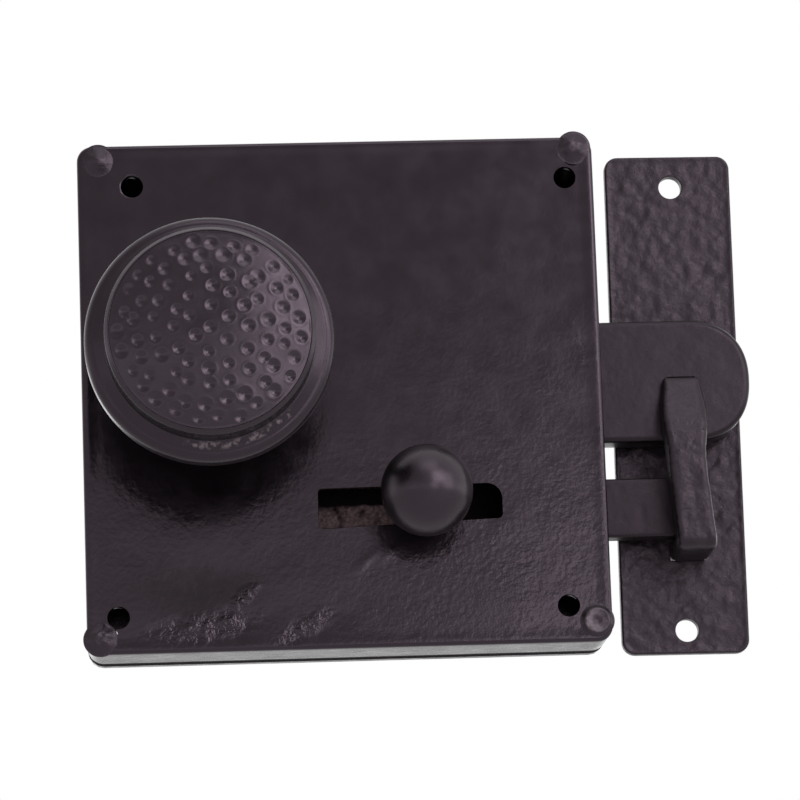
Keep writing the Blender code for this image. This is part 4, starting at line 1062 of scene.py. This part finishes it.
# Knob shank: turned iron with a square socket for the spindle and a tapped hole for its set screw.
# Its tenon goes through the back of the hollow knob and is riveted over inside.
SHANK_R = 8 * MM
TENON_R = 6 * MM
SHANK_EDGE = 0.8 * MM
SPINDLE_HALF = 3.8 * MM
SOCKET_DEPTH = 14 * MM
SET_SCREW_HOLE_R = 1.9 * MM
NECK_R = 9.5 * MM
KNOB_WALL = 1.6 * MM
RIVETED_HEAD = 2 * MM
DULL_BEHIND = 58.5 * MM
KNOB_PAINT = painted_iron("knob_paint", 0.27, 1.1 * MM, 0.015 * MM, 4 * MM, 0.04 * MM)
dulled_below(KNOB_PAINT, DULL_BEHIND, 2 * MM)


def shank():
    """A stepped profile turned about the axis, with a square socket in its foot and a tapped hole below."""
    low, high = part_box("knob_shank")
    axis_x, axis_up = middle_of("knob_shank")
    foot = -high.y
    inside = -low.y
    neck = inside - RIVETED_HEAD - KNOB_WALL - SEAT
    head_r = NECK_R - KNOB_WALL - SEAT
    profile = np.array([
        (0.1 * MM, inside), (head_r - 1 * MM, inside), (head_r, inside - 1 * MM),
        (head_r, inside - RIVETED_HEAD), (TENON_R, inside - RIVETED_HEAD),
        (TENON_R, neck - SEAT), (SHANK_R, neck - SEAT),
        (SHANK_R, foot + SHANK_EDGE), (SHANK_R - SHANK_EDGE, foot), (0.1 * MM, foot),
    ])
    piece = turned("turned_shank", profile, axis_x, axis_up, sides=96)
    half = SPINDLE_HALF
    mouth = (axis_x - half, axis_up - half, foot - 1 * MM)
    socket = box_rings(mouth, (axis_x + half, axis_up + half, foot + SOCKET_DEPTH))
    grow(piece, "DIFFERENCE", socket)
    screw_out = foot + SOCKET_DEPTH / 2
    tap = upright_rod(axis_x, screw_out, SET_SCREW_HOLE_R, axis_up - 2 * SHANK_R, axis_up)
    grow(piece, "DIFFERENCE", tap)
    fit(piece, "knob", "case_paint", KNOB_PAINT, "knob_shank", sharp=35)


shank()

# Knob body: sheet iron pressed in two shells and brazed together, hollow inside: a drum that holds the
# hammered face, a flange with a rounded rim round it, and a trumpet down to the neck. Paint has flaked in the
# corner between drum and flange, and its pale flecks there are partly painted highlight.
RIM_HEIGHT = 60.2 * MM
RIM_THICK = 6.6 * MM
RIM_ROUND = 2.0 * MM
FLANGE_FALL = 1 * MM
DRUM_DRAFT = 0.05 * MM
DRUM_FILLET = 0.3 * MM
KNOB_LIP = 1.0 * MM
LIP_FALL = 0.95 * MM
LIP_SOFT = 0.15 * MM
FACE_SEAT = 21.2 * MM
KNOB_SIDES = 256
FLAKES = 0.22 * MM
FLAKED_TOWARD = math.radians(288)
FLAKED_REACH = math.radians(26)
# Tone of the flecks: bare iron, and in part a painted highlight on the flakes.
FLECK_AND_GLINT_TONE = (0.11, 0.09, 0.095)
BODY_GLOSS = 0.46


def glinting_flecks(finish, radius, toward, reach):
    """Pale flecks in the paint, where spots of noise meet a ring about the knob's axis on one side: partly
    bare iron where the paint has flaked, partly painted highlight on the flakes. The side is the cosine of
    the angle from its middle, ramped from the reach inwards."""
    tree = finish.node_tree
    shader = tree.nodes["Principled BSDF"]
    axis = joint("knob_turn")["pos_m"]
    place = place_on(tree)
    x = minus(place.outputs["X"], axis[0])
    up = minus(place.outputs["Z"], axis[2])
    squares = plus(arithmetic("POWER", x, 2), arithmetic("POWER", up, 2))
    across = arithmetic("SQRT", squares)
    off_ring = arithmetic("ABSOLUTE", minus(across, radius))
    along = plus(times(x, math.cos(toward)), times(up, math.sin(toward)))
    side = ramp(arithmetic("DIVIDE", along, across), 0, 1, math.cos(reach), 1)
    ring = ramp(off_ring, 1, 0, 0.3 * MM, 1.0 * MM)
    spots = ramp(speckle(tree, 1.2 * MM), 0, 1, 0.50, 0.60)
    # Share of pale flecks: bare iron and painted highlight.
    fleck_and_glint_share = times(times(ring, ramp(side, 0, 1, 0, 0.35)), spots)
    paint = shader.inputs["Base Color"].links[0].from_socket
    link(tint(fleck_and_glint_share, paint, FLECK_AND_GLINT_TONE), shader.inputs["Base Color"])


GLINT_FLECKED_PAINT = painted_iron("glint_flecked_paint", 0.27, 1.1 * MM, 0.015 * MM, 4 * MM, 0.04 * MM, BODY_GLOSS)
dulled_below(GLINT_FLECKED_PAINT, DULL_BEHIND, 2 * MM, BODY_GLOSS)
glinting_flecks(GLINT_FLECKED_PAINT, 23.2 * MM, math.radians(286), math.radians(32))


def knob_profile(rim_r, lip_height, neck):
    """Outer side of the knob from the top of its lip to its neck. The trumpet is a quarter of an ellipse."""
    lip = FACE_SEAT + KNOB_LIP
    foot = lip + DRUM_DRAFT
    edge = rim_r - RIM_ROUND
    rim_front = RIM_HEIGHT + RIM_THICK / 2
    rim_back = RIM_HEIGHT - RIM_THICK / 2
    fall = np.linspace(0, np.pi / 2, 40)[1:]
    flange = rim_front + FLANGE_FALL
    below_lip = lip_height - 3 * MM
    return np.concatenate([
        [(FACE_SEAT, lip_height - 1.9 * MM)],
        softened(np.array([
            (FACE_SEAT, lip_height - 1.4 * MM), (FACE_SEAT, lip_height - 0.1 * MM),
            (FACE_SEAT + 0.1 * MM, lip_height), (FACE_SEAT + 0.25 * MM, lip_height),
            (lip, lip_height - LIP_FALL), (lip, below_lip),
        ]), LIP_SOFT, 0.05 * MM),
        np.stack([np.linspace(lip, foot, 16), np.linspace(below_lip, flange + DRUM_FILLET, 16)], -1)[1:],
        bend(foot + DRUM_FILLET, flange + DRUM_FILLET, DRUM_FILLET, 180, 270, 8)[1:],
        np.stack([np.linspace(foot + DRUM_FILLET, edge, 12), np.linspace(flange, rim_front, 12)], -1)[1:-1],
        bend(edge, rim_front - RIM_ROUND, RIM_ROUND, 90, 0, 20),
        bend(edge, rim_back + RIM_ROUND, RIM_ROUND, 0, -90, 20),
        np.stack([
            NECK_R + (edge - NECK_R) * (1 - np.sin(fall)),
            neck + (rim_back - neck) * np.cos(fall),
        ], -1),
        [(TENON_R + SEAT, neck)],
    ])


def hollow_knob():
    """The outer side turned about the axis, with flaked paint where the drum meets the flange at the bottom.
    The inner side is the outer one below the lip moved in by the wall along its normals, off the tenon."""
    low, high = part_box("knob_body")
    axis_up = joint("knob_turn")["pos_m"][2]
    outer = knob_profile((high.x - low.x) / 2, -low.y, -high.y)
    slope = np.gradient(outer, axis=0)
    inward = np.stack([slope[:, 1], -slope[:, 0]], axis=-1)
    inward /= np.linalg.norm(inward, axis=-1, keepdims=True)
    inner = (outer + (KNOB_WALL - SEAT) * inward)[outer[:, 1] < -low.y - 2.9 * MM]
    inner[:, 0] = np.maximum(inner[:, 0], TENON_R + SEAT)
    profile = np.concatenate([outer, inner[::-1]])
    radius = profile[:, :1]
    points = hoops(middle_of("knob_body")[0], axis_up, radius, profile[:, 1:], KNOB_SIDES)
    corner = FACE_SEAT + KNOB_LIP + DRUM_DRAFT + DRUM_FILLET
    flange = RIM_HEIGHT + RIM_THICK / 2 + FLANGE_FALL
    close = np.exp(-((radius - corner) / (0.9 * MM)) ** 2 - ((profile[:, 1:] - flange) / (1.2 * MM)) ** 2)
    below = np.exp(-((once_round(KNOB_SIDES) - FLAKED_TOWARD) / FLAKED_REACH) ** 2)
    flaked = FLAKES * np.clip(lumps(points, 1.0 * MM, 71), 0, 1) * close * below
    points[:len(outer), :, 1] -= flaked[:len(outer)]
    piece = closed_ring("hollow_knob", points)
    fit(piece, "knob", "knob_paint", GLINT_FLECKED_PAINT, "knob_body", sharp=50)


hollow_knob()

# Knob face: a shallow dome of sheet iron, hammered all over with a round punch from the middle outwards.
# It is set in the lip of the drum and painted with it.
FACE_PAINT = painted_iron("face_paint", 0.24, 1.1 * MM, 0.012 * MM, 4 * MM, 0.03 * MM, 0.57)
FACE_R = 20.9 * MM
FACE_SIDES = 300
DOME_RISE = 2.2 * MM
PUNCH_RINGS = ((0, 1), (4.4 * MM, 6), (8.4 * MM, 12), (12.2 * MM, 18), (15.7 * MM, 23), (18.9 * MM, 27))
PUNCH_WANDER = 0.7 * MM
PUNCH_R = (0.80 * MM, 1.15 * MM)
PUNCH_DEPTH = (0.32 * MM, 0.50 * MM)
WORN_SIDE = math.radians(135)


def punch_places():
    """Right, up, radius and depth of each mark, counted from the axis: rings of marks, each out of its place.
    The marks are shallower on the worn side."""
    chance = random.Random(11)
    marks = []
    for ring, (ring_r, count) in enumerate(PUNCH_RINGS):
        for i in range(count):
            angle = 2 * math.pi * (i + 0.5 * ring) / count
            x = ring_r * math.cos(angle) + chance.uniform(-PUNCH_WANDER, PUNCH_WANDER)
            up = ring_r * math.sin(angle) + chance.uniform(-PUNCH_WANDER, PUNCH_WANDER)
            worn = (x * math.cos(WORN_SIDE) + up * math.sin(WORN_SIDE)) / FACE_R
            depth = chance.uniform(*PUNCH_DEPTH) * (0.80 - 0.20 * worn)
            marks.append((x, up, chance.uniform(*PUNCH_R), depth))
    return np.array(marks)


def hammered_face():
    """Height: a shallow paraboloid, less for each punch mark a bowl that falls off as a bell curve of the
    distance over the punch's radius, with a low raised ring round the bowl."""
    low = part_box("knob_face")[0]
    knob = joint("knob_turn")["pos_m"]
    lip_height = -low.y - DOME_RISE
    edge = FACE_SEAT - 0.03 * MM
    turn = once_round(FACE_SIDES)
    radius = np.linspace(0.05 * MM, edge, 110)[:, None]
    x = radius * np.cos(turn)
    up = radius * np.sin(turn)
    dome = lip_height + DOME_RISE * (1 - (radius / edge) ** 2)
    height = dome + 0.03 * MM * (lumps(stand(x, up, 0), 4 * MM, 41) - 1)
    for mark_x, mark_up, mark_r, depth in punch_places():
        away = np.hypot(x - mark_x, up - mark_up) / mark_r
        height += depth * (0.20 * np.exp(-((away - 1.4) / 0.4) ** 2) - np.exp(-(away ** 2)))
    height = np.where(radius > edge - 0.3 * MM, dome, height)
    front = stand(knob[0] + x, knob[2] + up, np.minimum(height, -low.y))
    back_r = np.linspace(1, 0.005, 10)[:, None] * FACE_R
    back_height = lip_height - KNOB_WALL + DOME_RISE * (1 - (back_r / FACE_R) ** 2)
    back = hoops(knob[0], knob[2], back_r, back_height, FACE_SIDES)
    piece = skin("hammered_face", np.concatenate([front, back]))
    fit(piece, "knob", "knob_paint", FACE_PAINT, "knob_face", sharp=70)


hammered_face()

# Keeper plate: a strip of iron plate cut by hand, pitted by the forge and painted over the scale.
# It screws to the door's frame beside the case.
KEEPER_WIDTH = 28.6 * MM
KEEPER_HEIGHT = 114.4 * MM
KEEPER_CORNER = 3 * MM
KEEPER_EDGE = 0.6 * MM
KEEPER_STEP = 0.4 * MM
KEEPER_TURN = math.radians(-0.4)
KEEPER_HOLE_R = 2.6 * MM
KEEPER_TOP_HOLE = (0.6 * MM, 50.0 * MM)
KEEPER_BOTTOM_HOLE = (0.4 * MM, -51.9 * MM)
HOOK_TENON_SIDE = 4.0 * MM
HOOK_TENON_LOW = -36.6 * MM
HOOK_TENON_HIGH = -33.8 * MM
HOOK_FOOT_X = 77.25 * MM
KEEPER_GLOSS = 0.38
KEEPER_THIN = (0.004, 0.0030, 0.0037)
KEEPER_THICK = (0.010, 0.0077, 0.0093)


def forged_paint(name, thin, thick, rough):
    """Matt paint over forge scale: two sizes of crinkle in relief, which also break its gloss and colour."""
    made, tree, shader = new_finish(name, sheen=PAINT_SHEEN)
    shader.inputs["Specular IOR Level"].default_value = KEEPER_GLOSS
    coarse = speckle(tree, 2.4 * MM)
    fine = speckle(tree, 0.7 * MM, detail=2)
    matt = ramp(fine, rough - 0.08, rough + 0.1)
    laid_on(shader, mottled(coarse, thin, thick), matt, (coarse, 0.16 * MM), (fine, 0.05 * MM))
    return made


KEEPER_PAINT = forged_paint("keeper_paint", KEEPER_THIN, KEEPER_THICK, 0.36)


def pitted_plate():
    """A grid with round corners and edges, turned a little. Its front has crinkled relief in three sizes."""
    low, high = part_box("keeper_plate")
    middle = (low + high) / 2
    half = (KEEPER_WIDTH / 2, KEEPER_HEIGHT / 2)
    x, up, inset = round_cornered(*half, KEEPER_CORNER, KEEPER_EDGE, KEEPER_STEP)
    place = stand(x, up, 0)
    fine = 0.11 * lumps(place, 2.4 * MM, 51) + 0.09 * lumps(place, 1.4 * MM, 52)
    crinkle = fine + 0.07 * lumps(place, 9 * MM, 53)
    relief = (crinkle - 0.28) * MM * np.clip(inset / (1.2 * MM), 0.2, 1)
    fall = edge_drop(inset, KEEPER_EDGE)
    c = math.cos(KEEPER_TURN)
    s = math.sin(KEEPER_TURN)
    turned_x = middle.x + c * x - s * up
    turned_up = middle.z + s * x + c * up
    front = stand(turned_x, turned_up, -low.y - fall + relief)
    back = stand(turned_x, turned_up, -high.y + fall)
    piece = walled("pitted_keeper_plate", front, back)
    tools = []
    for hole_x, hole_up in (KEEPER_TOP_HOLE, KEEPER_BOTTOM_HOLE):
        at = (middle.x + c * hole_x - s * hole_up, middle.z + s * hole_x + c * hole_up)
        tools.append(drilled(*at, KEEPER_HOLE_R, -high.y - 1 * MM, -low.y - 0.2 * MM, 0.3 * MM))
    behind = (HOOK_FOOT_X - HOOK_TENON_SIDE, HOOK_TENON_LOW, -high.y - 1 * MM)
    tools.append(box_rings(behind, (HOOK_FOOT_X + HOOK_TENON_SIDE, HOOK_TENON_HIGH, -low.y + 1 * MM)))
    grow(piece, "DIFFERENCE", *tools)
    fit(piece, "case", "keeper_paint", KEEPER_PAINT, "keeper_plate", sharp=60)


pitted_plate()

# Keeper hook: a short iron bar forged to an L, its foot let through the plate and riveted.
# The ramp at its open top is filed smooth by the bar, and the rest keeps its hammered scale.
HOOK_X = 75.85 * MM
HOOK_WIDTH = 8.8 * MM
HOOK_CHEEK_WIDTH = 10 * MM
HOOK_TIP_WIDTH = 8.3 * MM
HOOK_CHEEK = 8.5 * MM
HOOK_RAMP = 13.4 * MM
HOOK_NECK = 19 * MM
HOOK_TIP = 1.6 * MM
HOOK_FOOT = 3.6 * MM
HOOK_FOOT_ROUND = 3 * MM
HOOK_EDGE = 1.3 * MM
HOOK_TENON_SHOULDER = 0.7 * MM
HOOK_TENON_OUT = 4.5 * MM
HOOK_OFF_BAR = 0.6 * MM
HOOK_FOOT_BACK = 3.3 * MM


def hook_sections(low, high, inside):
    """Level sections from the foot up. Each is a box with round corners between the back and the front of the
    hook. The front curves in at the foot and slopes back at the ramp. The width swells at the cheeks and
    narrows to the tip, and the middle leans from the foot to the neck."""
    bottom = low.z
    top = high.z
    front = -low.y
    shelf = bottom + HOOK_FOOT
    rows = np.concatenate([
        bottom + HOOK_EDGE * (1 - np.cos(np.linspace(0.15, np.pi / 2, 7))),
        np.linspace(bottom + HOOK_EDGE, shelf, 9)[1:],
        np.linspace(shelf, top - HOOK_EDGE, 170),
        top - HOOK_EDGE * (1 - np.sin(np.linspace(0, np.pi / 2 - 0.15, 8)))[1:],
    ])
    on_foot = np.arange(len(rows)) < 15
    back = np.where(on_foot, HOOK_FOOT_BACK, inside)
    under = np.maximum(bottom + HOOK_FOOT_ROUND - rows, 0)
    nose = HOOK_FOOT_ROUND - np.sqrt(np.maximum(HOOK_FOOT_ROUND ** 2 - under ** 2, 0))
    slope = (front - inside - HOOK_TIP) * np.clip((rows - (top - HOOK_RAMP)) / HOOK_RAMP, 0, 1)
    rounding = 0.6 * MM * np.exp(-((rows - (top - HOOK_RAMP)) / (2.2 * MM)) ** 2)
    fronts = front - nose - slope - rounding
    lean = eased((rows - bottom) / (top - HOOK_NECK - bottom))
    middle = HOOK_FOOT_X + (HOOK_X - HOOK_FOOT_X) * lean
    swell = eased((rows - (top - HOOK_NECK)) / (HOOK_NECK - HOOK_CHEEK))
    taper = eased((rows - (top - HOOK_CHEEK)) / HOOK_CHEEK)
    width = HOOK_WIDTH + (HOOK_CHEEK_WIDTH - HOOK_WIDTH) * swell - (HOOK_CHEEK_WIDTH - HOOK_TIP_WIDTH) * taper
    end = np.minimum(rows - bottom, top - rows)
    shrink = edge_drop(end, HOOK_EDGE)
    half_w = (width / 2 - shrink)[:, None]
    half_d = ((fronts - back) / 2 - shrink)[:, None]
    centre = ((fronts + back) / 2)[:, None]
    edge = np.minimum(HOOK_EDGE, 0.9 * np.minimum(half_w, half_d))
    c = np.cos(once_round(96))
    s = np.sin(once_round(96))
    spread = 1 / np.maximum(abs(c), abs(s))
    x, out = cornered(half_w * c * spread, half_d * s * spread, half_w, half_d, edge)
    return stand(middle[:, None] + x, rows[:, None], centre + out)


def forged_hook():
    """The level sections, each point moved outwards by hammer lumps that fade out where the ramp is filed. A
    tenon stands behind the foot."""
    low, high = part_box("keeper_hook")
    inside = -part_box("latch_bar")[0].y + HOOK_OFF_BAR
    rings = hook_sections(low, high, inside)
    centre = rings.mean(axis=1, keepdims=True)
    outward = rings - centre
    outward /= np.linalg.norm(outward, axis=-1, keepdims=True)
    rough = 1 - 0.85 * eased((rings[..., 2] - (high.z - HOOK_RAMP - 4 * MM)) / (4 * MM))
    hammered = 0.13 * lumps(rings, 2.4 * MM, 61) + 0.07 * lumps(rings, 1.1 * MM, 62)
    rings = rings + outward * ((hammered - 0.2) * rough * MM)[..., None]
    piece = skin("forged_hook", rings)
    side = HOOK_WIDTH / 2 - HOOK_TENON_SHOULDER
    behind = (HOOK_FOOT_X - side, low.z + HOOK_TENON_SHOULDER, -high.y)
    before = (HOOK_FOOT_X + side, low.z + HOOK_FOOT - HOOK_TENON_SHOULDER, HOOK_TENON_OUT)
    grow(piece, "UNION", box_rings(behind, before))
    fit(piece, "case", "keeper_paint", KEEPER_PAINT, "keeper_hook", sharp=50)


forged_hook()
